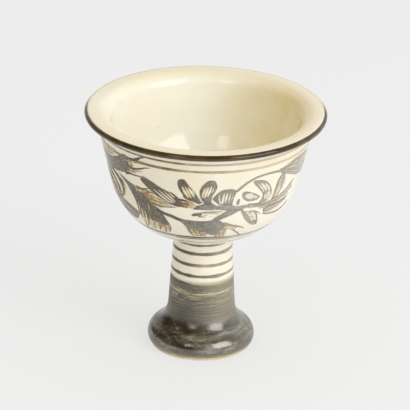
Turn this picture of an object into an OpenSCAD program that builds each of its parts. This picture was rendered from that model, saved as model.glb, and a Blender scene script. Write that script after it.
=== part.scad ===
// Stem cup: a thrown stoneware bowl luted to a hollow, flared stem foot.
// It is slipped, glazed and painted in iron, and every layer is a solid of its own.
// Each profile is a half section, [radius, height] in millimetres, turned about the Z axis.
// The table is at Z = 0, and sizes are those of the finished, glazed cup.

/* [Bowl] */
// Outer diameter of the mouth, over the lip
mouth_d = 109; // [105:0.5:114]
// Height of the cup, from the table to the top of the lip
cup_h = 114; // [111:0.5:120]
// Thickness of the lip's round edge
lip_t = 2.7; // [2.3:0.1:3.4]
// Radius of the outward curl under the lip
curl_r = 8; // [6.5:0.5:10]
// Distance that the lip stands out past the line of the wall
lip_out = 3.3; // [2.5:0.1:4.5]
// Radius of the belly's curve
belly_r = 35; // [33:0.25:37]
// Distance of the belly curve's centre from the axis
belly_offset = 8.3; // [7.3:0.1:9.5]
// Thickness of the wall where it meets the belly
wall_t = 3.7; // [3.2:0.1:4.4]
// Angle by which the wall thickens upwards, in degrees
wall_swell = 4.8; // [3.8:0.1:5.8]
// Radius of the bend from the lip's level top down into the bowl
bend_r = 6; // [4.5:0.25:7]
// Distance from the axis of the centre of the inside's curve
well_offset = 4.4; // [3.6:0.1:5.4]
// Thickness of the bowl's floor
floor_t = 8.6; // [7.6:0.1:10]

/* [Stem and foot] */
// Height of the bowl's underside above the table
stem_h = 54.8; // [50:0.2:58]
// Diameter of the stem where it meets the bowl
stem_top_d = 26.4; // [24:0.2:29]
// Taper of the stem, which widens downwards, in degrees
stem_taper = 3.3; // [2.3:0.1:4.3]
// Thickness of the stem's wall round its hollow
stem_wall_t = 6; // [4.8:0.1:7]
// Widest diameter of the foot
foot_d = 48.8; // [46:0.2:53]
// Height of the foot's widest point above the table
foot_edge_z = 4.2; // [3.6:0.1:5]
// Radius of the foot's rounded edge
foot_edge_r = 6.4; // [5.4:0.1:7.4]
// Radius of the sweep from the stem to the foot's edge
foot_sweep_r = 12; // [10:0.5:14]
// Set-back of the bare ring that the cup stands on from the foot's widest point
foot_ring_inset = 1.5; // [1.2:0.1:3]
// Width of that bare ring
foot_ring_w = 5; // [4:0.1:6]

/* [Joint] */
// Thickness of the slip that lutes the bowl to the stem
luting_t = 0.8; // [0.5:0.1:1.2]
// Radius of the fillet wiped round the joint
joint_fillet_r = 4; // [3:0.1:5]

/* [Coats] */
// Thickness of the white slip on the bowl and the upper stem
slip_t = 0.35; // [0.2:0.05:0.5]
// Thickness of the clear glaze over the slip
glaze_t = 0.35; // [0.25:0.05:0.5]
// Depth to which the iron pigment has sunk into the clear glaze
pigment_t = 0.2; // [0.1:0.05:0.2]
// Height of the bare clay left below the dark foot glaze
bare_h = 1.6; // [1:0.1:2.4]

/* [Painted lines] */
// Width of the lines under the lip
rim_line_w = 1; // [0.7:0.1:1.4]
// Drop from the top of the lip to the first of them
rim_line_drop = 6.3; // [5.5:0.1:7.5]
// Step down from one of them to the next
rim_line_pitch = 4; // [3:0.1:5]
// Width of the lines on the belly
belly_line_w = 0.9; // [0.6:0.1:1.1]
// Heights of those lines above the bowl's underside
belly_line_heights = [7.2, 10.5, 11.7]; // [6:0.1:14]
// Width of the rings on the stem
stem_ring_w = 1.5; // [1:0.1:2]
// Drop from the bowl's underside to the first ring
stem_ring_drop = 6.2; // [5:0.1:7]
// Step down from one ring to the next
stem_ring_pitch = 5.4; // [4.6:0.1:6.2]
// Number of rings on the stem
stem_ring_count = 3; // [2:1:3]
// Width of the hairline at the top of the stem
hairline_w = 0.8; // [0.5:0.1:1.1]
// Drop from the bowl's underside to the hairline
hairline_drop = 1.8; // [1.2:0.1:2.6]
// Drop from the last ring to the edge of the dark foot glaze
dark_edge_drop = 3.2; // [2.5:0.1:4.5]

/* [Hidden] */
$fn = 96;

// Largest turn of an arc between two of its points, in degrees
arc_step = 4;
// Reach past the glaze of the cutters that sink the painted lines into it
cut_past = 0.5;
// Points of a profile that lie closer than this are one point
same_point = 0.001;

coat_t = slip_t + glaze_t;
lip_r = lip_t / 2;
foot_ring_r = foot_d / 2 - foot_ring_inset;
hollow_r = foot_ring_r - foot_ring_w;
floor_z = stem_h + floor_t;
dark_edge_z = stem_h - stem_ring_drop - (stem_ring_count - 1) * stem_ring_pitch - dark_edge_drop;

function arc(c, r, a0, a1) =
    let (n = max(3, ceil(abs(a1 - a0) / arc_step)))
    [for (i = [0:n]) let (a = a0 + (a1 - a0) * i / n) c + r * [cos(a), sin(a)]];

function reversed(p) = [for (i = [len(p) - 1:-1:0]) p[i]];

function tidy(p) = [for (i = [0:len(p) - 1]) if (i == 0 || norm(p[i] - p[max(0, i - 1)]) > same_point) p[i]];

function heading(from, to) = atan2(to[1] - from[1], to[0] - from[0]);

// Centre of the circle of radius r that touches the circle (c, cr) from outside, and the line
// through p along u from its side n. It lies before the circle's centre along u, or past it.
function blend_centre(p, u, n, r, c, cr, way) =
    let (q = c - p)
    let (along = sqrt(pow(r + cr, 2) - pow(r - q * n, 2)))
    p + (q * u + way * along) * u + r * n;

// First point where the line through p along u meets the circle (c, r)
function line_meets(p, u, c, r) =
    let (q = p - c)
    let (b = q * u)
    p + (-b - sqrt(b * b - q * q + r * r)) * u;

// Outside of the bowl: belly, leaning wall, curl and round lip
// The wall touches the belly and passes the lip's centre at the distance set, which gives its lean
belly_c = [belly_offset, stem_h + belly_r];
lip_c = [mouth_d / 2 - lip_r, cup_h - lip_r];
wall_lean = acos((belly_r + lip_out) / norm(lip_c - belly_c)) - heading(belly_c, lip_c);
wall_u = [sin(wall_lean), cos(wall_lean)];
wall_n = [cos(wall_lean), -sin(wall_lean)];
wall_p = belly_c + belly_r * wall_n;
curl_c = blend_centre(wall_p, wall_u, wall_n, curl_r, lip_c, lip_r, -1);
curl_a = heading(curl_c, lip_c);
wall_a = 180 - wall_lean;
lip_top_a = 90;

// Inside of the bowl: a bend from the lip's level top, a steeper wall, then a curve down to the floor
inner_lean = wall_lean - wall_swell;
inner_n = [cos(inner_lean), -sin(inner_lean)];
inner_p = wall_p - wall_t * wall_n;
bend_z = cup_h - bend_r;
bend_c = [inner_p[0] + (bend_r + (bend_z - inner_p[1]) * sin(inner_lean)) / cos(inner_lean), bend_z];
well_r = (inner_p - [well_offset, floor_z]) * inner_n / (1 - sin(inner_lean));
well_c = [well_offset, floor_z + well_r];

// Stem, the fillet under the bowl, the sweep to the foot and the foot's rounded edge
stem_u = [-sin(stem_taper), cos(stem_taper)];
stem_n = [cos(stem_taper), sin(stem_taper)];
stem_p = [stem_top_d / 2, stem_h];
stem_a = 180 + stem_taper;
joint_c = blend_centre(stem_p, stem_u, stem_n, joint_fillet_r, belly_c, belly_r, -1);
joint_a = heading(belly_c, joint_c);
edge_c = [foot_d / 2 - foot_edge_r, foot_edge_z];
sweep_c = blend_centre(stem_p, stem_u, stem_n, foot_sweep_r, edge_c, foot_edge_r, 1);
sweep_a = heading(edge_c, sweep_c);
bare_a = -asin((foot_edge_z - bare_h) / foot_edge_r);

// Hollow of the stem, and the curved seat at its top that carries the bowl
hollow_sweep_r = foot_sweep_r + stem_wall_t;
hollow_a = 180 + acos((sweep_c[0] - hollow_r) / hollow_sweep_r);
bore_r = stem_at(stem_h, -stem_wall_t)[0];
seat_r = belly_r - coat_t + luting_t;
seat_corner = line_meets(stem_p - coat_t * stem_n, stem_u, belly_c, seat_r);
seat_a = heading(belly_c, seat_corner);

// Point of the stem's side at height z, moved out by d
function stem_at(z, d) = [stem_p[0] + d / cos(stem_taper) - (z - stem_p[1]) * tan(stem_taper), z];

// Run round the bowl's underside at radius r from the belly's centre, from the bore out to angle a
function under_bowl(r, a) =
    let (a_in = -acos(max(0, (bore_r - belly_offset) / r)))
    concat([[bore_r, belly_c[1] + r * sin(a_in)]], arc(belly_c, r, a_in, a));

// Outside of the painted part, from the dark glaze's edge to the lip, moved out by d
function outer_skin(d) = concat(
    [stem_at(dark_edge_z, d)],
    arc(joint_c, joint_fillet_r - d, stem_a, joint_a + 180),
    arc(belly_c, belly_r + d, joint_a, -wall_lean),
    arc(curl_c, curl_r - d, wall_a, curl_a));

// Round of the lip that the iron band covers, moved out by d
function lip_band(d) = arc(lip_c, lip_r + d, curl_a - 180, lip_top_a);

// Inside of the bowl, from the top of the lip to the axis, moved out by d
function inner_skin(d) = concat(
    [[lip_c[0], cup_h + d]],
    arc(bend_c, bend_r + d, lip_top_a, 180 - inner_lean),
    arc(well_c, well_r - d, -inner_lean, -90),
    [[0, floor_z + d]]);

// Whole skin of the bowl and upper stem, moved out by d, and by band_d on the lip's round
function skin(d, band_d) = tidy(concat(outer_skin(d), lip_band(band_d), inner_skin(d)));

// Outside of the foot, from the bare clay to the dark glaze's edge, moved out by d
function foot_skin(d) = tidy(concat(
    arc(edge_c, foot_edge_r + d, bare_a, sweep_a),
    arc(sweep_c, foot_sweep_r - d, sweep_a + 180, stem_a),
    [stem_at(dark_edge_z, d)]));

// Half section between two profiles that run the same way
module between(outer, inner) {
    polygon(concat(outer, reversed(inner)));
}

// Half section of one line painted round the cup at height z, out to reach past the glaze
module line_section(z, w, reach) {
    intersection() {
        between(tidy(outer_skin(reach)), tidy(outer_skin(-pigment_t)));
        translate([0, z - w / 2]) square([mouth_d / 2, w]);
    }
}

module rim_line_sections(reach) {
    for (i = [0:1]) line_section(cup_h - rim_line_drop - i * rim_line_pitch, rim_line_w, reach);
}

module belly_line_sections(reach) {
    for (h = belly_line_heights) line_section(stem_h + h, belly_line_w, reach);
}

module stem_ring_sections(reach) {
    line_section(stem_h - hairline_drop, hairline_w, reach);
    for (i = [0:stem_ring_count - 1]) {
        line_section(stem_h - stem_ring_drop - i * stem_ring_pitch, stem_ring_w, reach);
    }
}

// Thrown bowl, round underneath, with a wall that thickens upwards and curls out to a level lip
module bowl_body() {
    color("BurlyWood") rotate_extrude() polygon(tidy(concat(
        [[0, belly_c[1] - belly_r + coat_t]],
        arc(belly_c, belly_r - coat_t, -90, joint_a),
        arc(belly_c, belly_r - coat_t, joint_a, -wall_lean),
        arc(curl_c, curl_r + coat_t, wall_a, curl_a),
        lip_band(-coat_t),
        inner_skin(-coat_t))));
}

// Thrown stem, hollow from the foot ring up to the seat that carries the bowl
module stem_foot_body() {
    color("Peru") rotate_extrude() polygon(tidy(concat(
        [[foot_ring_r, 0]],
        arc(edge_c, foot_edge_r - coat_t, bare_a, sweep_a),
        arc(sweep_c, foot_sweep_r + coat_t, sweep_a + 180, stem_a),
        [joint_c - (joint_fillet_r + coat_t) * stem_n],
        reversed(under_bowl(seat_r, seat_a)),
        arc(sweep_c, hollow_sweep_r, stem_a, hollow_a),
        [[hollow_r, 0]])));
}

// Slip between the stem's seat and the bowl, wiped to a fillet round the joint
module luting_slip() {
    color("Tan") rotate_extrude() polygon(tidy(concat(
        under_bowl(belly_r - coat_t, joint_a),
        arc(joint_c, joint_fillet_r + coat_t, joint_a + 180, stem_a),
        reversed(under_bowl(seat_r, seat_a)))));
}

// White slip over the bowl, inside and out, and down the upper stem
module slip_coat() {
    color("White") rotate_extrude() between(skin(-glaze_t, -glaze_t), skin(-coat_t, -coat_t));
}

// Clear glaze over the slip, sunk where the iron band and lines lie
module clear_glaze() {
    color("Ivory") rotate_extrude() difference() {
        between(skin(0, -pigment_t), skin(-glaze_t, -glaze_t));
        rim_line_sections(cut_past);
        belly_line_sections(cut_past);
        stem_ring_sections(cut_past);
    }
}

// Dark iron glaze on the lower stem and the foot, stopping short of the table
module foot_glaze() {
    color("DarkSlateGray") rotate_extrude() between(foot_skin(0), foot_skin(-coat_t));
}

// Iron band round the lip
module rim_band() {
    color("Maroon") rotate_extrude() between(lip_band(0), lip_band(-pigment_t));
}

// Iron lines under the lip
module rim_lines() {
    color("SaddleBrown") rotate_extrude() rim_line_sections(0);
}

// Fine iron lines low on the belly
module belly_lines() {
    color("Sienna") rotate_extrude() belly_line_sections(0);
}

// Iron rings and the hairline on the upper stem
module stem_rings() {
    color("SaddleBrown") rotate_extrude() stem_ring_sections(0);
}

bowl_body();
stem_foot_body();
luting_slip();
slip_coat();
clear_glaze();
foot_glaze();
rim_band();
rim_lines();
belly_lines();
stem_rings();
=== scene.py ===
"""Looks of a stoneware stem cup: ivory glaze, brushed iron painting and a dark foot."""

import logging
import math
import random
from bisect import bisect_right
from collections.abc import Iterable
from dataclasses import dataclass, field
from enum import Enum
from functools import cached_property, partial
from itertools import accumulate

import bmesh
import bpy
from mathutils import Matrix, Vector, noise


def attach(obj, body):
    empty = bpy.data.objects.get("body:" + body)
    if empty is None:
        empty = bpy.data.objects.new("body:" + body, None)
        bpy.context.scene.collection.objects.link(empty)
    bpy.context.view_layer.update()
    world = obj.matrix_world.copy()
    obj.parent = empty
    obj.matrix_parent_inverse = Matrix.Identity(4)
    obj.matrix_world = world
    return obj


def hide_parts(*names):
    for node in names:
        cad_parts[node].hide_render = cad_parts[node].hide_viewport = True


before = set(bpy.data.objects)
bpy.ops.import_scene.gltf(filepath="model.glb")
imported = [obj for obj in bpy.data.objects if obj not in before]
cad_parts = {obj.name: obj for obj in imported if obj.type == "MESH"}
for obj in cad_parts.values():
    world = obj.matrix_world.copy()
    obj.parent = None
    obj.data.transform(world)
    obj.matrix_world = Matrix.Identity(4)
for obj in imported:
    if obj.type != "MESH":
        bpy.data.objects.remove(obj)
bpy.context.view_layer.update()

MM = 0.001
BODY = "root"
LOG = logging.getLogger("stem_cup")

# Faces round the cup, and the most that a chord of a profile may stand off its arc (mm)
ROUND_STEPS = 224
FINE_SAG = 0.002
COARSE_SAG = 0.05
# Chords between two points of a brush stroke's edge
PATH_STEPS = 8
# Distances at which two points are one (m), and a length too short to matter (mm)
SEAM_GAP = 1e-8
SHEET_GAP = 1e-6
TINY = 1e-9

Point = tuple[float, float]
Span = tuple[float, float]
Triple = tuple[float, float, float]
Stops = tuple[tuple[float, str], ...]
Looks = dict[str, object]
Tree = bpy.types.NodeTree
Node = bpy.types.Node
Socket = bpy.types.NodeSocket

# Node setting for a change that eases in and out
EASED = {"interpolation_type": "SMOOTHSTEP"}
# Values between which most of a noise lies
NOISE = (0.3, 0.7)


def linear(code: str) -> tuple[float, float, float, float]:
    """Turns a colour as it looks on a screen into the linear one that shaders take.

    Args:
        code: sRGB colour as "#rrggbb".

    Returns:
        Linear red, green and blue, with an alpha of 1.
    """
    shares = [int(code[i : i + 2], 16) / 255 for i in (1, 3, 5)]
    red, green, blue = (c / 12.92 if c <= 0.04045 else ((c + 0.055) / 1.055) ** 2.4 for c in shares)
    return red, green, blue, 1.0


def fineness(size_mm: float) -> float:
    """Scale at which noise has marks of a size."""
    return 1 / (size_mm * MM)


def both_ways(middle: float, swing: float) -> Span:
    """The least and the most of a value that swings about a middle one."""
    return middle - swing, middle + swing


def add_node(
    tree: Tree, kind: str, inputs: dict | tuple = (), stops: Stops = (), **settings: object
) -> Node:
    """Adds a node with its settings and links.

    Args:
        tree: node tree that gets the node.
        kind: Blender's name for the node type, without the ShaderNode before it.
        inputs: value, socket or node (its first output in use) for inputs by name, or for the
            inputs in use from the first on.
        stops: places and colours of a colour ramp.
        settings: properties of the node.

    Returns:
        The new node.
    """
    node = tree.nodes.new("ShaderNode" + kind)
    for key, value in settings.items():
        setattr(node, key, value)
    if stops:
        elements = node.color_ramp.elements
        while len(elements) < len(stops):
            elements.new(1.0)
        for element, (place, code) in zip(elements, stops):
            element.position = place
            element.color = linear(code)
    sockets = [s for s in node.inputs if s.enabled]
    if isinstance(inputs, dict):
        sockets = [next(s for s in sockets if s.name == name) for name in inputs]
        inputs = tuple(inputs.values())
    for socket, value in zip(sockets, inputs):
        if isinstance(value, Node):
            value = next(s for s in value.outputs if s.enabled)
        if isinstance(value, Socket):
            tree.links.new(value, socket)
        else:
            socket.default_value = value
    return node


def layered(tree: Tree, ground: object, layers: Iterable[tuple[Node, str]]) -> Node:
    """Lays colours over a ground, one after the other.

    Args:
        tree: node tree of the material.
        ground: node or linear colour of the ground.
        layers: node that gives a layer's share, and its colour, for each layer.

    Returns:
        Node that gives the colour with all layers on.
    """
    for share, code in layers:
        ground = add_node(tree, "Mix", (share, ground, linear(code)), data_type="RGBA")
    return ground


def arc(centre: Vector, radius: float, start: float, end: float, sag: float) -> list[Vector]:
    """Points of an arc of a half section.

    Args:
        centre: centre of the arc (mm).
        radius: its radius (mm).
        start: angle of the first point (rad).
        end: angle of the last point (rad).
        sag: the most that a chord may stand off the arc (mm).

    Returns:
        The points, first to last.
    """
    # At least 3 chords, of 50 degrees or so at most
    step = 2 * math.acos(max(0.9, 1 - sag / radius))
    count = max(3, math.ceil(abs(end - start) / step))
    angles = [start + (end - start) * i / count for i in range(count + 1)]
    return [centre + radius * Vector((math.cos(a), math.sin(a))) for a in angles]


def heading(start: Vector, end: Vector) -> float:
    """Angle (rad) of the way from one point of the half section to another."""
    return math.atan2(end.y - start.y, end.x - start.x)


def blend_centre(
    point: Vector, side: Vector, radius: float, centre: Vector, other: float, way: int
) -> Vector:
    """Centre of a fillet that touches a line and, from outside, a circle.

    Args:
        point: a point of the line (mm).
        side: the line's normal, on the fillet's side.
        radius: radius of the fillet (mm).
        centre: centre of the circle (mm).
        other: radius of the circle (mm).
        way: -1 for the fillet before the circle going up the line, 1 for past it.

    Returns:
        The fillet's centre (mm).
    """
    along = Vector((-side.y, side.x))
    gap = centre - point
    run = math.sqrt((radius + other) ** 2 - (radius - gap.dot(side)) ** 2)
    return point + (gap.dot(along) + way * run) * along + radius * side


def smooth_path(points: tuple[Point, ...], count: int) -> list[Vector]:
    """Evenly spaced points of a smooth curve through a few points.

    Args:
        points: points that the curve passes through.
        count: number of points wanted.

    Returns:
        The points along the curve.
    """
    ends = [Vector(p) for p in points]
    ends = [2 * ends[0] - ends[1], *ends, 2 * ends[-1] - ends[-2]]
    fine = []
    for a, b, c, d in zip(ends, ends[1:], ends[2:], ends[3:]):
        bend, turn = 2 * a - 5 * b + 4 * c - d, 3 * b - 3 * c + d - a
        for i in range(PATH_STEPS):
            t = i / PATH_STEPS
            fine.append(0.5 * (2 * b + (c - a) * t + bend * t**2 + turn * t**3))
    fine.append(ends[-2])
    return evenly(fine, count)


def runs_along(points: list[Vector]) -> list[float]:
    """How far along a polyline each of its points lies."""
    return [0.0, *accumulate((b - a).length for a, b in zip(points, points[1:]))]


def evenly(points: list[Vector], count: int) -> list[Vector]:
    """Evenly spaced points of a polyline, its two ends among them.

    Args:
        points: points of the polyline.
        count: number of points wanted.

    Returns:
        The points along it.
    """
    runs = runs_along(points)
    spaced = []
    for k in range(count):
        want = runs[-1] * k / (count - 1)
        i = min(bisect_right(runs, want), len(runs) - 1)
        share = (want - runs[i - 1]) / max(TINY, runs[i] - runs[i - 1])
        spaced.append(points[i - 1].lerp(points[i], share))
    return spaced


@dataclass(frozen=True)
class CupProfile:
    """Half section of the finished cup: radius as x and height as y (mm)."""

    mouth_d: float = 109.0
    cup_h: float = 114.0
    lip_t: float = 2.7
    curl_r: float = 8.0
    lip_out: float = 3.3
    belly_r: float = 35.0
    belly_offset: float = 8.3
    wall_t: float = 3.7
    wall_swell: float = math.radians(4.8)
    bend_r: float = 6.0
    well_offset: float = 4.4
    floor_t: float = 8.6
    stem_h: float = 54.8
    stem_top_d: float = 26.4
    stem_taper: float = math.radians(3.3)
    foot_d: float = 48.8
    foot_edge_z: float = 4.2
    foot_edge_r: float = 6.4
    foot_sweep_r: float = 12.0
    joint_fillet_r: float = 4.0
    bare_h: float = 1.6
    dark_edge_z: float = 34.6
    coat_t: float = 0.7
    glaze_t: float = 0.35
    pigment_t: float = 0.2
    paint_zero_z: float = 66.0
    # Points along straight stretches
    stem_points: int = 14
    wall_points: int = 12
    level_points: int = 6

    @cached_property
    def lip_r(self) -> float:
        """Radius of the lip's round."""
        return self.lip_t / 2

    @cached_property
    def belly_c(self) -> Vector:
        """Centre of the belly's arc."""
        return Vector((self.belly_offset, self.stem_h + self.belly_r))

    @cached_property
    def lip_c(self) -> Vector:
        """Centre of the lip's round."""
        return Vector((self.mouth_d / 2 - self.lip_r, self.cup_h - self.lip_r))

    @cached_property
    def wall_lean(self) -> float:
        """Lean of the wall, which touches the belly and passes the lip at a set distance (rad)."""
        reach = (self.lip_c - self.belly_c).length
        return math.acos((self.belly_r + self.lip_out) / reach) - heading(self.belly_c, self.lip_c)

    @cached_property
    def wall_n(self) -> Vector:
        """Outward normal of the wall."""
        return Vector((math.cos(self.wall_lean), -math.sin(self.wall_lean)))

    @cached_property
    def wall_p(self) -> Vector:
        """Point where the belly runs into the wall."""
        return self.belly_c + self.belly_r * self.wall_n

    @cached_property
    def curl_c(self) -> Vector:
        """Centre of the curl under the lip."""
        return blend_centre(self.wall_p, self.wall_n, self.curl_r, self.lip_c, self.lip_r, -1)

    @cached_property
    def curl_a(self) -> float:
        """Angle at which the curl runs into the lip (rad)."""
        return heading(self.curl_c, self.lip_c)

    @cached_property
    def stem_n(self) -> Vector:
        """Outward normal of the stem's side."""
        return Vector((math.cos(self.stem_taper), math.sin(self.stem_taper)))

    @cached_property
    def stem_p(self) -> Vector:
        """Top point of the stem's side."""
        return Vector((self.stem_top_d / 2, self.stem_h))

    @cached_property
    def joint_c(self) -> Vector:
        """Centre of the fillet under the bowl."""
        fillet = self.joint_fillet_r
        return blend_centre(self.stem_p, self.stem_n, fillet, self.belly_c, self.belly_r, -1)

    @cached_property
    def edge_c(self) -> Vector:
        """Centre of the foot's round edge."""
        return Vector((self.foot_d / 2 - self.foot_edge_r, self.foot_edge_z))

    @cached_property
    def sweep_c(self) -> Vector:
        """Centre of the sweep from the stem out to the foot."""
        sweep = self.foot_sweep_r
        return blend_centre(self.stem_p, self.stem_n, sweep, self.edge_c, self.foot_edge_r, 1)

    def stem_at(self, height: float, out: float) -> Vector:
        """Point of the stem's side at a height, moved out (mm)."""
        run = out / math.cos(self.stem_taper) - (height - self.stem_h) * math.tan(self.stem_taper)
        return Vector((self.stem_top_d / 2 + run, height))

    def outer(self, out: float, sag: float) -> list[Vector]:
        """Outside of the painted part, from the dark glaze's edge to the lip.

        Args:
            out: how far the line is moved out (mm).
            sag: the most that a chord may stand off an arc (mm).

        Returns:
            Points of the half section.
        """
        joint_r, curl_r = self.joint_fillet_r - out, self.curl_r - out
        joint_a = heading(self.belly_c, self.joint_c)
        stem = [self.stem_at(self.dark_edge_z, out), self.joint_c - joint_r * self.stem_n]
        wall = [self.wall_p + out * self.wall_n, self.curl_c - curl_r * self.wall_n]
        return [
            *evenly(stem, self.stem_points),
            *arc(self.joint_c, joint_r, math.pi + self.stem_taper, joint_a + math.pi, sag)[1:],
            *arc(self.belly_c, self.belly_r + out, joint_a, -self.wall_lean, sag)[1:],
            *evenly(wall, self.wall_points)[1:],
            *arc(self.curl_c, curl_r, math.pi - self.wall_lean, self.curl_a, sag)[1:],
        ]

    def lip(self, out: float, sag: float) -> list[Vector]:
        """Round of the lip under the iron band, moved out (mm)."""
        return arc(self.lip_c, self.lip_r + out, self.curl_a - math.pi, math.pi / 2, sag)

    def inner(self, out: float, sag: float) -> list[Vector]:
        """Inside of the bowl, from the top of the lip to the axis.

        Args:
            out: how far the line is moved off the clay (mm).
            sag: the most that a chord may stand off an arc (mm).

        Returns:
            Points of the half section.
        """
        lean = self.wall_lean - self.wall_swell
        side = Vector((math.cos(lean), -math.sin(lean)))
        start = self.wall_p - self.wall_t * self.wall_n
        bend_z = self.cup_h - self.bend_r
        bend_x = start.x + (self.bend_r + (bend_z - start.y) * math.sin(lean)) / math.cos(lean)
        floor_z = self.stem_h + self.floor_t
        corner = Vector((self.well_offset, floor_z))
        radius = (start - corner).dot(side) / (1 - math.sin(lean))
        bend = arc(Vector((bend_x, bend_z)), self.bend_r + out, math.pi / 2, math.pi - lean, sag)
        well = arc(corner + Vector((0.0, radius)), radius - out, -lean, -math.pi / 2, sag)
        return [
            *evenly([Vector((self.lip_c.x, self.cup_h + out)), bend[0]], self.level_points),
            *bend[1:],
            *evenly([bend[-1], well[0]], self.wall_points)[1:],
            *well[1:],
            *evenly([well[-1], Vector((0.0, floor_z + out))], self.level_points)[1:],
        ]

    def foot(self, out: float, sag: float) -> list[Vector]:
        """Outside of the foot and lower stem, from the bare clay up to the dark glaze's edge.

        Args:
            out: how far the line is moved out (mm).
            sag: the most that a chord may stand off an arc (mm).

        Returns:
            Points of the half section.
        """
        bare_a = -math.asin((self.foot_edge_z - self.bare_h) / self.foot_edge_r)
        sweep_a = heading(self.edge_c, self.sweep_c)
        sweep_r, stem_a = self.foot_sweep_r - out, math.pi + self.stem_taper
        sweep = arc(self.sweep_c, sweep_r, sweep_a + math.pi, stem_a, sag)
        return [
            *arc(self.edge_c, self.foot_edge_r + out, bare_a, sweep_a, sag),
            *sweep[1:],
            *evenly([sweep[-1], self.stem_at(self.dark_edge_z, out)], self.wall_points)[1:],
        ]

    @cached_property
    def wall_line(self) -> list[Vector]:
        """The outside from the dark glaze's edge to the lip."""
        return self.outer(0.0, FINE_SAG)

    @cached_property
    def wall_runs(self) -> list[float]:
        """Distance along the outside of each of its points.

        Returns:
            The distances from the painting's zero height (mm).
        """
        runs = runs_along(self.wall_line)
        zero = self.run_at(self.paint_zero_z, runs)
        return [r - zero for r in runs]

    def run_at(self, height: float, runs: list[float]) -> float:
        """Distance along the outside at a height.

        Args:
            height: the height (mm).
            runs: distance along the outside of each of its points (mm).

        Returns:
            The distance (mm).
        """
        i = next(i for i, p in enumerate(self.wall_line) if p.y > height)
        a, b = self.wall_line[i - 1], self.wall_line[i]
        return runs[i - 1] + (runs[i] - runs[i - 1]) * (height - a.y) / (b.y - a.y)

    def on_wall(self, run: float, out: float) -> Vector:
        """Point of the outside at a distance along it, moved out.

        Args:
            run: distance along the outside from the painting's zero height (mm).
            out: how far the point is moved out (mm).

        Returns:
            Radius and height (mm).
        """
        i = min(max(1, bisect_right(self.wall_runs, run)), len(self.wall_runs) - 1)
        a, b = self.wall_line[i - 1], self.wall_line[i]
        share = (run - self.wall_runs[i - 1]) / (self.wall_runs[i] - self.wall_runs[i - 1])
        along = (b - a).normalized()
        return a.lerp(b, share) + out * Vector((along.y, -along.x))


PROFILE = CupProfile()


@dataclass(frozen=True)
class Finish:
    """A fired surface, as a material that is made once and shared.

    Its swell is the width and depth of one soft wave of the surface.
    """

    name: str
    roughness: float
    ior: float = 1.5
    swell_mm: Span = (7.0, 0.03)

    def material(self) -> bpy.types.Material:
        """Makes the material, or finds the one made before.

        Returns:
            The material.
        """
        if self.name in bpy.data.materials:
            return bpy.data.materials[self.name]
        made = bpy.data.materials.new(self.name)
        made.use_nodes = True
        tree = made.node_tree
        tree.nodes.clear()
        looks = {"Roughness": self.roughness, "IOR": self.ior, **self.dress(tree)}
        shader = add_node(tree, "BsdfPrincipled", looks)
        add_node(tree, "OutputMaterial", {"Surface": shader})
        return made

    def dress(self, tree: Tree) -> Looks:
        """Adds nodes for this surface and gives the shader's inputs, for each finish to fill in."""
        raise NotImplementedError

    def waves(self, tree: Tree) -> tuple[Socket, Node]:
        """Adds the soft unevenness of a thrown and dipped surface.

        Args:
            tree: node tree of the material.

        Returns:
            The Object coordinates, for other patterns, and the bump.
        """
        place = add_node(tree, "TexCoord").outputs["Object"]
        width, depth = self.swell_mm
        swell = add_node(tree, "TexNoise", (place, fineness(width), 2.0))
        bump = {"Height": swell, "Distance": depth * MM, "Strength": 1.0}
        return place, add_node(tree, "Bump", bump)


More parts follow.
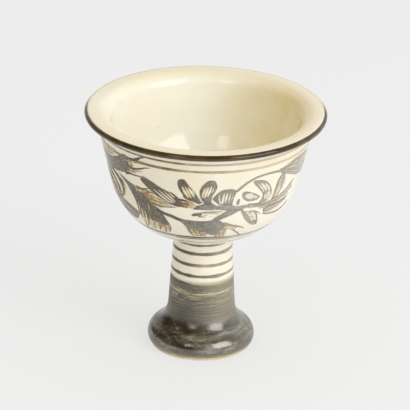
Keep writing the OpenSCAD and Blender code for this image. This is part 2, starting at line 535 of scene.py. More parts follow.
@dataclass(frozen=True)
class IvoryGlaze(Finish):
    """Clear lime glaze over white slip: warm ivory, with painted light that whitens the inside of the
    bowl and painted shade that yellows the shaded sides, inside and out.
    """

    name: str = "clear_glaze_over_white_slip"
    roughness: float = 0.08
    ior: float = 1.55
    pale: str = "#f1ebd9"
    cream: str = "#e9dab4"
    # The next two colours are painted light that whitens the inside and painted shade that yellows the
    # inside's shaded right side
    inner: str = "#f5f2e3"
    painted_shade_yellow: str = "#e2d09b"
    lip: str = "#e7dcba"
    shaded: str = "#d8c8a2"
    speck: str = "#b39a6c"
    cloud_mm: float = 22.0
    speck_mm: float = 0.9
    patch_mm: float = 13.5
    # Where each look comes in along an axis of the cup (m)
    warm_z: Span = (85 * MM, 108 * MM)
    # Painted shade: across this span the outside turns creamier towards its left
    outer_shade_x: Span = (10 * MM, -40 * MM)
    # Painted light: across this span the whitening of the inside grows from its left
    inside_light_x: Span = (-50 * MM, -5 * MM)
    # Painted shade: across this span the inside turns yellower towards its right
    inside_shade_x: Span = (-12 * MM, 46 * MM)
    brink_x: Span = (0.0, 30 * MM)
    brink_z: Span = (110.5 * MM, 112.9 * MM)
    level_z: float = 113.8 * MM
    ends_y: Span = (0.0, 45 * MM)
    shade_x: Span = (15 * MM, 45 * MM)
    # Values of a pattern between which a look comes in
    cloud_at: Span = (0.35, 0.68)
    patch_at: Span = (0.35, 0.65)
    bend_at: Span = (0.2, 0.75)
    speck_at: Span = (0.7, 0.8)
    # How strong a look is at its least or its most, and how far it swings
    warm_least: float = 0.25
    # Strength of the painted shade on the outside's left
    outer_shade_most: float = 0.4
    # Least strength of the painted light inside, at its left
    inside_light_least: float = 0.6
    ends_least: float = 0.25
    shade_most: float = 0.9
    speck_most: float = 0.35
    patch_swing: float = 0.16
    gloss_swing: float = 0.02

    def dress(self, tree: Tree) -> Looks:
        """Clouds of cream and iron specks, with painted light that whitens the inside and painted shade
        on the inside's right, the outside's left and the lip's right edge.

        Args:
            tree: node tree of the material.

        Returns:
            The shader's inputs.
        """
        add = partial(add_node, tree)
        place, bump = self.waves(tree)
        x, y, z = add("SeparateXYZ", (place,)).outputs
        inside = add("Attribute", attribute_name="inside").outputs["Fac"]
        # Cream clouds, more of them towards the lip; painted shade makes the outside of the wall
        # creamier towards its shaded left side
        cloud = add("TexNoise", (place, fineness(self.cloud_mm), 4.0))
        warm = add("MapRange", (z, *self.warm_z, self.warm_least))
        spread = add("MapRange", (cloud, *self.cloud_at, 0.0, warm))
        wall = add("MapRange", (x, *self.outer_shade_x, 0.0, self.outer_shade_most))
        outside = add("MapRange", (inside, 0.0, 1.0, 1.0, 0.0))
        wall = add("Math", (wall, outside), operation="MULTIPLY")
        # Painted light whitens the inside, less so to its left, where the key lamp lights it; painted
        # shade yellows the inside's shaded right side, in patches
        lit = add("MapRange", (x, *self.inside_light_x, self.inside_light_least))
        white = add("Math", (inside, lit), operation="MULTIPLY")
        inside_shade = add("MapRange", (x, *self.inside_shade_x), **EASED)
        patch = add("TexNoise", (place, fineness(self.patch_mm), 3.0))
        patch = add("MapRange", (patch, *self.patch_at, *both_ways(1.0, self.patch_swing)))
        deep = add("Math", (inside_shade, inside), operation="MULTIPLY")
        deep = add("Math", (deep, patch), operation="MULTIPLY", use_clamp=True)
        # The lip's level top, and the bend inside it
        brink = add("MapRange", (x, *self.brink_x, *self.brink_z))
        level = add("MapRange", (z, brink, self.level_z))
        depth = add("Math", (y,), operation="ABSOLUTE")
        ends = add("MapRange", (depth, *self.ends_y, self.ends_least))
        top = add("Math", (level, ends), operation="MULTIPLY")
        shade = add("MapRange", (x, *self.shade_x, 0.0, self.shade_most))
        bend = add("MapRange", (inside, *self.bend_at))
        for share in (level, bend):
            shade = add("Math", (shade, share), operation="MULTIPLY")
        grit = add("TexNoise", (place, fineness(self.speck_mm), 1.0))
        specks = add("MapRange", (grit, *self.speck_at, 0.0, self.speck_most))
        # Layers: cream clouds, painted shade on the outside's left, painted light inside, painted shade
        # on the inside's right, the lip's top, painted shade at the lip's right edge, iron specks
        layers = (
            (spread, self.cream),
            (wall, self.cream),
            (white, self.inner),
            (deep, self.painted_shade_yellow),
            (top, self.lip),
            (shade, self.shaded),
            (specks, self.speck),
        )
        colour = layered(tree, linear(self.pale), layers)
        rough = both_ways(self.roughness, self.gloss_swing)
        gloss = add("MapRange", (cloud, *NOISE, *rough))
        return {"Base Color": colour, "Roughness": gloss, "Normal": bump}


@dataclass(frozen=True)
class IronPigment(Finish):
    """Iron slip brushed under the glaze: tan where thin, grey-brown where thick, and paler to one side
    as painted light.
    """

    roughness: float = 0.1
    stops: Stops = (
        (0.0, "#efe6cc"),
        (0.14, "#e0cca0"),
        (0.28, "#c9ac78"),
        (0.42, "#9b825a"),
        (0.56, "#685c44"),
        (0.7, "#544c3b"),
        (0.85, "#676150"),
        (1.0, "#848379"),
    )
    # Painted light: the pigment turns towards this paler colour on the lamp-lit right side
    painted_light_tint: str = "#d0cdc2"
    painted_light_x: Span = (-6 * MM, 18 * MM)
    painted_light_share: float = 0.47

    def paint(self, tree: Tree, place: Socket, thickness: Node, cover: Node) -> Looks:
        """Colours the pigment by its thickness, with painted light that makes it paler towards the
        lamp-lit side of the cup.

        Args:
            tree: node tree of the material.
            place: the Object coordinates.
            thickness: node that gives the pigment's thickness from 0 to 1.
            cover: node that gives 1 on the stroke and 0 beside it.

        Returns:
            The shader's colour and alpha.
        """
        ink = add_node(tree, "ValToRGB", (thickness,), stops=self.stops)
        across = add_node(tree, "SeparateXYZ", (place,)).outputs["X"]
        # Painted light: paler towards the right, where the key lamp falls
        fired = add_node(tree, "MapRange", (across, *self.painted_light_x, 0.0, self.painted_light_share))
        return {"Base Color": layered(tree, ink, ((fired, self.painted_light_tint),)), "Alpha": cover}


@dataclass(frozen=True)
class BrushedLine(IronPigment):
    """Iron slip drawn as a line with a pointed brush: dark down the middle, soft at its edges."""

    name: str = "iron_slip_line"
    edge_mm: float = 0.4
    uneven_mm: float = 3.5
    uneven_load: Span = (0.75, 1.15)

    def dress(self, tree: Tree) -> Looks:
        """Uneven load along the line, and thin pigment at both edges.

        Args:
            tree: node tree of the material.

        Returns:
            The shader's inputs.
        """
        add = partial(add_node, tree)
        place, bump = self.waves(tree)
        load = add("Attribute", attribute_name="load").outputs["Fac"]
        spot = add("Attribute", attribute_name="spot").outputs["Vector"]
        rim = add("SeparateXYZ", (spot,)).outputs["Z"]
        uneven = add("TexNoise", (place, fineness(self.uneven_mm), 3.0))
        body = add("MapRange", (uneven, *NOISE, *self.uneven_load))
        inked = add("Math", (body, load), operation="MULTIPLY")
        soft = add("MapRange", (rim, 0.0, self.edge_mm))
        return {**self.paint(tree, place, inked, soft), "Normal": bump}


@dataclass(frozen=True)
class LoadedLeaf(IronPigment):
    """Iron slip laid on with a loaded brush: dark and mottled, drying to tan streaks."""

    name: str = "iron_slip_leaf"
    bristle_mm: Span = (9.0, 0.5)
    mottle_mm: float = 0.8
    blot_mm: float = 4.0
    # Width of the soft edge of a thin and of a thick stroke, and their loads
    edge_mm: Span = (1.5, 0.6)
    edge_load: Span = (0.3, 0.75)
    # Values of a pattern between which a look comes in
    streak_at: Span = (0.28, 0.72)
    cover_at: Span = (0.02, 0.12)
    # How far patterns swing the thickness
    pool_swing: float = 0.14
    grain_swing: float = 0.2
    streak_swing: float = 0.5
    # Drying: where it starts along a stroke, and how it thins, streaks and breaks the pigment
    dry_from: float = 0.25
    thinning: float = 0.45
    streaking: Span = (1.0, 0.3)
    breaking: Span = (1.5, 0.5)

    def dress(self, tree: Tree) -> Looks:
        """Mottled body, streaks along the stroke that part as the brush dries, broken edges.

        Args:
            tree: node tree of the material.

        Returns:
            The shader's inputs.
        """
        add = partial(add_node, tree)
        place, bump = self.waves(tree)
        load = add("Attribute", attribute_name="load").outputs["Fac"]
        dry = add("Attribute", attribute_name="dry").outputs["Fac"]
        brush = add("Attribute", attribute_name="brush").outputs["Vector"]
        spot = add("Attribute", attribute_name="spot").outputs["Vector"]
        along, _, rim = add("SeparateXYZ", (spot,)).outputs
        stretch = (1 / self.bristle_mm[0], 1 / self.bristle_mm[1], 1.0)
        drawn = add("VectorMath", (brush, stretch), operation="MULTIPLY")
        streak = add("TexNoise", (drawn, 1.0, 2.0))
        mottle = add("TexNoise", (place, fineness(self.mottle_mm), 2.0))
        blot = add("TexNoise", (place, fineness(self.blot_mm), 3.0))
        tail = add("MapRange", (along, self.dry_from, 1.0), **EASED)
        dried = add("Math", (tail, dry), operation="MULTIPLY")
        pools = add("MapRange", (blot, *NOISE, *both_ways(0.0, self.pool_swing)))
        wet = add("Math", (load, pools), operation="ADD")
        grains = add("MapRange", (mottle, *NOISE, *both_ways(0.0, self.grain_swing)))
        body = add("Math", (wet, grains), operation="ADD")
        swing = both_ways(0.0, self.streak_swing)
        marks = add("MapRange", (streak, *self.streak_at, *swing))
        contrast = add("Math", (dried, *self.streaking), operation="MULTIPLY_ADD")
        marked = add("Math", (marks, contrast, body), operation="MULTIPLY_ADD")
        thinned = add("Math", (dried, -self.thinning, marked), operation="MULTIPLY_ADD")
        ragged = add("Math", (dried, *self.breaking), operation="MULTIPLY_ADD")
        broken = add("Math", (marks, ragged, rim), operation="MULTIPLY_ADD")
        soft = add("MapRange", (load, *self.edge_load, *self.edge_mm))
        edge = add("MapRange", (broken, 0.0, soft))
        enough = add("MapRange", (thinned, *self.cover_at))
        cover = add("Math", (edge, enough), operation="MULTIPLY")
        return {**self.paint(tree, place, thinned, cover), "Normal": bump}


@dataclass(frozen=True)
class DarkGlaze(Finish):
    """Iron-saturated glaze, brushed on as the wheel turned: black-brown with olive streaks.

    Streaks, flecks and patches have a length round the cup and a thickness.
    """

    name: str = "dark_iron_glaze"
    roughness: float = 0.19
    stem_roughness: float = 0.4
    ior: float = 2.1
    swell_mm: Span = (1.3, 0.055)
    stem_stops: Stops = (
        (0.36, "#262215"),
        (0.5, "#423c28"),
        (0.6, "#5a5238"),
        (0.7, "#8c815c"),
    )
    foot_stops: Stops = (
        (0.34, "#221707"),
        (0.46, "#3b2b12"),
        (0.56, "#534a34"),
        (0.7, "#868475"),
    )
    # Painted sheen added towards the right side of the stem and of the foot
    stem_painted_sheen: str = "#706b57"
    foot_painted_sheen: str = "#393c35"
    # Grey-green of the painted reflection of the floor low on the foot
    low: str = "#757b6c"
    tan: str = "#d6c492"
    hem: str = "#a58b62"
    streak_mm: Span = (20.0, 0.4)
    fleck_mm: Span = (7.0, 0.45)
    patch_mm: Span = (13.0, 4.6)
    groove_mm: float = 0.5
    mottle_mm: float = 1.3
    wander_mm: float = 1.6
    # Distances down from the glaze's edge
    skip_mm: float = 6.2
    # How far patches move the edge of the painted reflection of the floor
    reflection_wander_mm: float = 6.0
    under_mm: Span = (15.0, 8.0)
    over_mm: Span = (2.0, 4.5)
    foot_mm: Span = (15.0, 23.0)
    # The painted reflection of the floor comes in across this span
    floor_reflection_mm: Span = (43.5, 47.5)
    edge_mm: float = 0.9
    skip_edge_mm: Span = (0.6, 0.15)
    reach_mm: Span = (1.5, 2.8)
    # Where a look comes in along an axis of the cup (m)
    # Painted sheen comes in across this span
    painted_light_x: Span = (-9 * MM, 12 * MM)
    reach_x: Span = (-8 * MM, 6 * MM)
    thin_z: Span = (3.1 * MM, 1.8 * MM)
    # Values of the flecks between which the skipped line and the flecks come in
    skip_at: Span = (0.36, 0.52)
    fleck_at: Span = (0.52, 0.6)
    # How strong a look is at its most, and how far it swings
    fleck_most: float = 0.6
    # Strength of the painted reflection of the floor
    floor_reflection_most: float = 0.85
    thin_most: float = 0.75
    mottle_swing: float = 0.05

    def dress(self, tree: Tree) -> Looks:
        """Greyer, drier and finely grooved on the stem, glossy and patchy on the foot, with a painted
        sheen on the right and a painted reflection of the floor low on the foot.

        Args:
            tree: node tree of the material.

        Returns:
            The shader's inputs.
        """
        add = partial(add_node, tree)
        place, bump = self.waves(tree)
        x, _, z = add("SeparateXYZ", (place,)).outputs
        run = add("Attribute", attribute_name="run").outputs["Fac"]
        streak = self.level_noise(tree, place, run, self.streak_mm)
        patch = self.level_noise(tree, place, run, self.patch_mm)
        ragged = add("Math", (patch, self.wander_mm, run), operation="MULTIPLY_ADD")
        down = add("MapRange", (run, *self.foot_mm), **EASED)
        mottle = add("TexNoise", (place, fineness(self.mottle_mm), 2.0))
        mottle = add("MapRange", (mottle, *NOISE, *both_ways(0.0, self.mottle_swing)))
        mottled = add("Math", (patch, mottle), operation="ADD")
        # Painted sheen: both stem and foot are made paler towards the right, where the key lamp's broad
        # reflection falls
        side = add("MapRange", (x, *self.painted_light_x), **EASED)
        tints = []
        for thickness, stops, painted_light_tint in (
            (streak, self.stem_stops, self.stem_painted_sheen),
            (mottled, self.foot_stops, self.foot_painted_sheen),
        ):
            ground = add("ValToRGB", (thickness,), stops=stops)
            fired = (side, ground, linear(painted_light_tint))
            tints.append(add("Mix", fired, data_type="RGBA", blend_type="ADD"))
        stem = layered(tree, tints[0], ((self.skips(tree, place, run, ragged), self.tan),))
        brushed = add("Mix", (down, stem, tints[1]), data_type="RGBA")
        # Painted reflection of the pale floor, greyer low on the foot; tan where the glaze is thin
        sunk = add("Math", (patch, self.reflection_wander_mm, run), operation="MULTIPLY_ADD")
        floor_reflection = add("MapRange", (sunk, *self.floor_reflection_mm, 0.0, self.floor_reflection_most), **EASED)
        thin = add("MapRange", (z, *self.thin_z, 0.0, self.thin_most))
        reach = add("MapRange", (x, *self.reach_x, *self.reach_mm))
        edge = add("MapRange", (ragged, reach, self.edge_mm))
        layers = ((floor_reflection, self.low), (thin, self.hem), (edge, self.tan))
        gloss = add("MapRange", (down, 0.0, 1.0, self.stem_roughness, self.roughness))
        # Wheel grooves on the stem, drawn coarser than they are so that they show
        dry = add("MapRange", (down, 0.0, 1.0, 1.0, 0.0))
        grooves = {"Height": streak, "Strength": dry, "Distance": self.groove_mm * MM, "Normal": bump}
        return {
            "Base Color": layered(tree, brushed, layers),
            "Roughness": gloss,
            "Normal": add("Bump", grooves),
        }

    def skips(self, tree: Tree, place: Socket, run: Socket, ragged: Node) -> Node:
        """Adds the tan line and flecks where the brush skipped, a little below the glaze's edge.

        Args:
            tree: node tree of the material.
            place: the Object coordinates.
            run: how far down the glaze a place lies (mm).
            ragged: the same distance, made to wander.

        Returns:
            Node that gives 1 on a skip and 0 on the glaze.
        """
        add = partial(add_node, tree)
        fleck = self.level_noise(tree, place, run, self.fleck_mm)
        off = add("Math", (ragged, self.skip_mm), operation="SUBTRACT")
        off = add("Math", (off,), operation="ABSOLUTE")
        drawn = add("MapRange", (off, *self.skip_edge_mm))
        under = add("MapRange", (run, *self.under_mm, 0.0, self.fleck_most))
        over = add("MapRange", (run, *self.over_mm))
        spread = add("Math", (under, over), operation="MULTIPLY")
        marks = []
        for share, limits in ((drawn, self.skip_at), (spread, self.fleck_at)):
            broken = add("MapRange", (fleck, *limits))
            marks.append(add("Math", (share, broken), operation="MULTIPLY"))
        return add("Math", tuple(marks), operation="MAXIMUM")

    def level_noise(self, tree: Tree, place: Socket, run: Socket, size_mm: Span) -> Node:
        """Adds noise that is drawn out round the cup, as a brush leaves it on the wheel.

        Args:
            tree: node tree of the material.
            place: the Object coordinates.
            run: how far down the glaze a place lies (mm).
            size_mm: length of a mark round the cup, and its thickness.

        Returns:
            The noise.
        """
        add = partial(add_node, tree)
        level = fineness(size_mm[0])
        flat = add("VectorMath", (place, (level, level, 0.0)), operation="MULTIPLY")
        rise = add("Math", (run, 1 / size_mm[1]), operation="MULTIPLY")
        upright = add("CombineXYZ", (0.0, 0.0, rise))
        drawn = add("VectorMath", (flat, upright), operation="ADD")
        return add("TexNoise", (drawn, 1.0, 3.0, 0.65))


@dataclass(frozen=True)
class IronBand(Finish):
    """Thick iron slip wiped round the lip: glossy black-brown, rusty where it thins."""

    name: str = "iron_slip_lip"
    roughness: float = 0.09
    ior: float = 1.7
    specular: float = 0.35
    swell_mm: Span = (4.0, 0.04)
    dark: str = "#35280f"
    rust: str = "#574420"
    wiped: str = "#e6dabc"
    # Olive of the painted reflection on the band's lower part
    thin: str = "#786a4b"
    patch_mm: float = 9.0
    # Where a look comes in along an axis of the cup (m)
    far_y: Span = (0.0, 14 * MM)
    # The painted reflection comes in across this span
    band_reflection_x: Span = (18 * MM, 48 * MM)
    # Values of a pattern, or shares of the way up the band, between which a look comes in
    rust_at: Span = (0.4, 0.75)
    top_at: Span = (0.74, 0.8)
    band_reflection_at: Span = (0.08, 0.3)
    # How far up the band the painted reflection reaches, how far patches move that, and how strongly it
    # shows
    band_reflection_up: float = 0.46
    patch_up: float = 0.5
    band_reflection_most: float = 0.85

    def dress(self, tree: Tree) -> Looks:
        """Rusty patches in the black-brown, wiped off the far side's top, with a painted reflection
        that pales its lower part towards the right, so that the band looks thinner there.

        Args:
            tree: node tree of the material.

        Returns:
            The shader's inputs.
        """
        add = partial(add_node, tree)
        place, bump = self.waves(tree)
        x, y, _ = add("SeparateXYZ", (place,)).outputs
        run = add("Attribute", attribute_name="run").outputs["Fac"]
        patch = add("TexNoise", (place, fineness(self.patch_mm), 3.0))
        rusty = add("MapRange", (patch, *self.rust_at))
        far = add("MapRange", (y, *self.far_y))
        top = add("MapRange", (run, *self.top_at))
        bare = add("Math", (far, top), operation="MULTIPLY")
        # Painted reflection: the band's lower part turns olive towards the lamp-lit right side
        side = add("MapRange", (x, *self.band_reflection_x, 0.0, self.band_reflection_up))
        low = add("Math", (patch, -self.patch_up, run), operation="MULTIPLY_ADD")
        low = add("Math", (side, low), operation="SUBTRACT")
        band_reflection = add("MapRange", (low, *self.band_reflection_at, 0.0, self.band_reflection_most))
        layers = ((rusty, self.rust), (band_reflection, self.thin), (bare, self.wiped))
        colour = layered(tree, linear(self.dark), layers)
        return {"Base Color": colour, "Specular IOR Level": self.specular, "Normal": bump}


@dataclass(frozen=True)
class FiredClay(Finish):
    """Bare or slipped stoneware: matt, grainy and a little mottled from the kiln."""

    name: str = "bare_stoneware"
    roughness: float = 0.85
    swell_mm: Span = (0.8, 0.06)
    light: str = "#eadcc0"
    toasted: str = "#dcc8a4"
    grain: str = "#9c7d55"
    cloud_mm: float = 8.0
    grain_mm: float = 0.6
    # Values of a pattern between which a look comes in, and how strong the grains are
    cloud_at: Span = (0.35, 0.65)
    grain_at: Span = (0.62, 0.72)
    grain_most: float = 0.7

    def dress(self, tree: Tree) -> Looks:
        """Toasted clouds, dark grains in the clay and a sandy surface.

        Args:
            tree: node tree of the material.

        Returns:
            The shader's inputs.
        """
        add = partial(add_node, tree)
        place, bump = self.waves(tree)
        cloud = add("TexNoise", (place, fineness(self.cloud_mm), 4.0))
        spread = add("MapRange", (cloud, *self.cloud_at))
        grit = add("TexNoise", (place, fineness(self.grain_mm), 1.0))
        spot = add("MapRange", (grit, *self.grain_at, 0.0, self.grain_most))
        layers = ((spread, self.toasted), (spot, self.grain))
        return {"Base Color": layered(tree, linear(self.light), layers), "Normal": bump}


def turned(
    shown: list[Vector], hidden: list[Vector], trait: str, values: list[float]
) -> bmesh.types.BMesh:
    """Turns a thin closed section about the cup's axis.

    Args:
        shown: points of the section's outer line (mm).
        hidden: points of its inner line, in the same order (mm).
        trait: name of the attribute that the outer line carries.
        values: the attribute's value at each point of the outer line.

    Returns:
        The closed mesh.
    """
    mesh = bmesh.new()
    layer = mesh.verts.layers.float.new(trait)
    line = [*shown, *reversed(hidden)]
    verts = [mesh.verts.new((p.x * MM, 0.0, p.y * MM)) for p in line]
    for vert, value in zip(verts, values):
        vert[layer] = value
    pairs = zip(verts, [*verts[1:], verts[0]])
    edges = [mesh.edges.new(p) for p in pairs if max(p[0].co.x, p[1].co.x) > SEAM_GAP]
    bmesh.ops.spin(
        mesh,
        geom=[*verts, *edges],
        cent=(0.0, 0.0, 0.0),
        axis=(0.0, 0.0, 1.0),
        dvec=(0.0, 0.0, 0.0),
        angle=2 * math.pi,
        steps=ROUND_STEPS,
        use_merge=True,
        use_normal_flip=False,
        use_duplicate=False,
    )
    bmesh.ops.remove_doubles(mesh, verts=mesh.verts, dist=SEAM_GAP)
    bmesh.ops.recalc_face_normals(mesh, faces=mesh.faces)
    return mesh


def in_scene(name: str, data: bpy.types.ID) -> bpy.types.Object:
    """Puts a new object in the scene.

    Args:
        name: name of the object.
        data: its mesh, lamp or camera.

    Returns:
        The object.
    """
    made = bpy.data.objects.new(name, data)
    bpy.context.scene.collection.objects.link(made)
    return made


def covered(name: str, mesh: bmesh.types.BMesh, finish: Finish) -> bpy.types.Object:
    """Makes an object from a mesh and gives it its finish.

    Args:
        name: name of the object.
        mesh: its mesh, in place, which is freed.
        finish: its finish.

    Returns:
        The object.
    """
    data = bpy.data.meshes.new(name)
    mesh.to_mesh(data)
    mesh.free()
    data.materials.append(finish.material())
    return in_scene(name, data)


def place_piece(
    name: str, mesh: bmesh.types.BMesh, finish: Finish, stands_for: tuple[str, ...] = ()
) -> None:
    """Makes a finished piece of the cup from its mesh.

    Args:
        name: name of the piece.
        mesh: its mesh, in place, which is freed.
        finish: its finish.
        stands_for: CAD nodes that it replaces.
    """
    for face in mesh.faces:
        face.smooth = True
    piece = covered(name, mesh, finish)
    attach(piece, BODY)
    if stands_for:
        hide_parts(*stands_for)
    LOG.info("%s: %d faces, %s", name, len(piece.data.polygons), finish.name)


@dataclass
class Bowl:
    """The glazed bowl: ivory skin inside and out, and the iron band on its lip."""

    glaze: Finish = field(default_factory=IvoryGlaze)
    band: Finish = field(default_factory=IronBand)
    blend_mm: float = 8.5

    def build(self) -> None:
        """Builds the glaze and the lip's band."""
        self.glaze_skin()
        self.lip_band()

    def glaze_skin(self) -> None:
        """The clear glaze, from the dark glaze's edge over the lip to the bowl's floor."""
        sunk = PROFILE.lip(-PROFILE.pigment_t, FINE_SAG)
        outside = [*PROFILE.outer(0.0, FINE_SAG)[:-1], *sunk]
        inside = PROFILE.inner(0.0, FINE_SAG)
        blend = [min(1.0, run / self.blend_mm) for run in runs_along(inside)]
        deep = -PROFILE.glaze_t
        hidden = [
            *PROFILE.outer(deep, COARSE_SAG)[:-1],
            *PROFILE.lip(deep, COARSE_SAG),
            *PROFILE.inner(deep, COARSE_SAG)[1:],
        ]
        mesh = turned([*outside, *inside], hidden, "inside", [0.0] * len(outside) + blend)
        place_piece("ivory_glaze", mesh, self.glaze, ("clear_glaze",))

    def lip_band(self) -> None:
        """The iron band round the lip."""
        shown = PROFILE.lip(0.0, FINE_SAG)
        values = [i / (len(shown) - 1) for i in range(len(shown))]
        mesh = turned(shown, PROFILE.lip(-PROFILE.pigment_t, COARSE_SAG), "run", values)
        place_piece("lip_band", mesh, self.band, ("rim_band",))


@dataclass
class StemFoot:
    """The dark-glazed lower stem and foot over the bare clay."""

    glaze: Finish = field(default_factory=DarkGlaze)

    def build(self) -> None:
        """Builds the dark glaze."""
        shown = PROFILE.foot(0.0, FINE_SAG)
        runs = runs_along(shown)
        values = [runs[-1] - run for run in runs]
        mesh = turned(shown, PROFILE.foot(-PROFILE.coat_t, COARSE_SAG), "run", values)
        place_piece("dark_foot_glaze", mesh, self.glaze, ("foot_glaze",))


class Touch(Enum):
    """How the brush was used, with the finish that it leaves."""

    LINE = BrushedLine()
    LEAF = LoadedLeaf()


@dataclass(frozen=True)
class Stroke:
    """One touch of the brush between two edges, as (degrees round the cup, mm up the wall)."""

    near: tuple[Point, ...]
    far: tuple[Point, ...]
    traits: tuple[tuple[str, float], ...]


def leaf(near: tuple[Point, ...], far: tuple[Point, ...], load: float, dry: float) -> Stroke:
    """A loaded stroke between two edges: how dark it is, and how far its end dries out."""
    return Stroke(near, far, (("load", load), ("dry", dry)))


def line(path: tuple[Point, ...], widths: Triple, load: float) -> Stroke:
    """A drawn line of changing width.

    Args:
        path: points along the middle of the line.
        widths: width at its start, middle and end (mm).
        load: how dark it is.

    Returns:
        The stroke.
    """
    count = max(6, 3 * len(path))
    middle = smooth_path(path, count)
    near, far = [], []
    for i, spot in enumerate(middle):
        share = i / (count - 1)
        begin, finish = widths[:2] if share < 0.5 else widths[1:]
        width = begin + (finish - begin) * (2 * share % 1 if share < 1 else 1)
        degree = math.radians(PROFILE.on_wall(spot.y, 0.0).x)
        way = middle[min(i + 1, count - 1)] - middle[max(i - 1, 0)]
        side = Vector((-way.y, way.x * degree)).normalized() * width / 2
        near.append((spot.x + side.x / degree, spot.y + side.y))
        far.append((spot.x - side.x / degree, spot.y - side.y))
    return Stroke(tuple(near), tuple(far), (("load", load),))


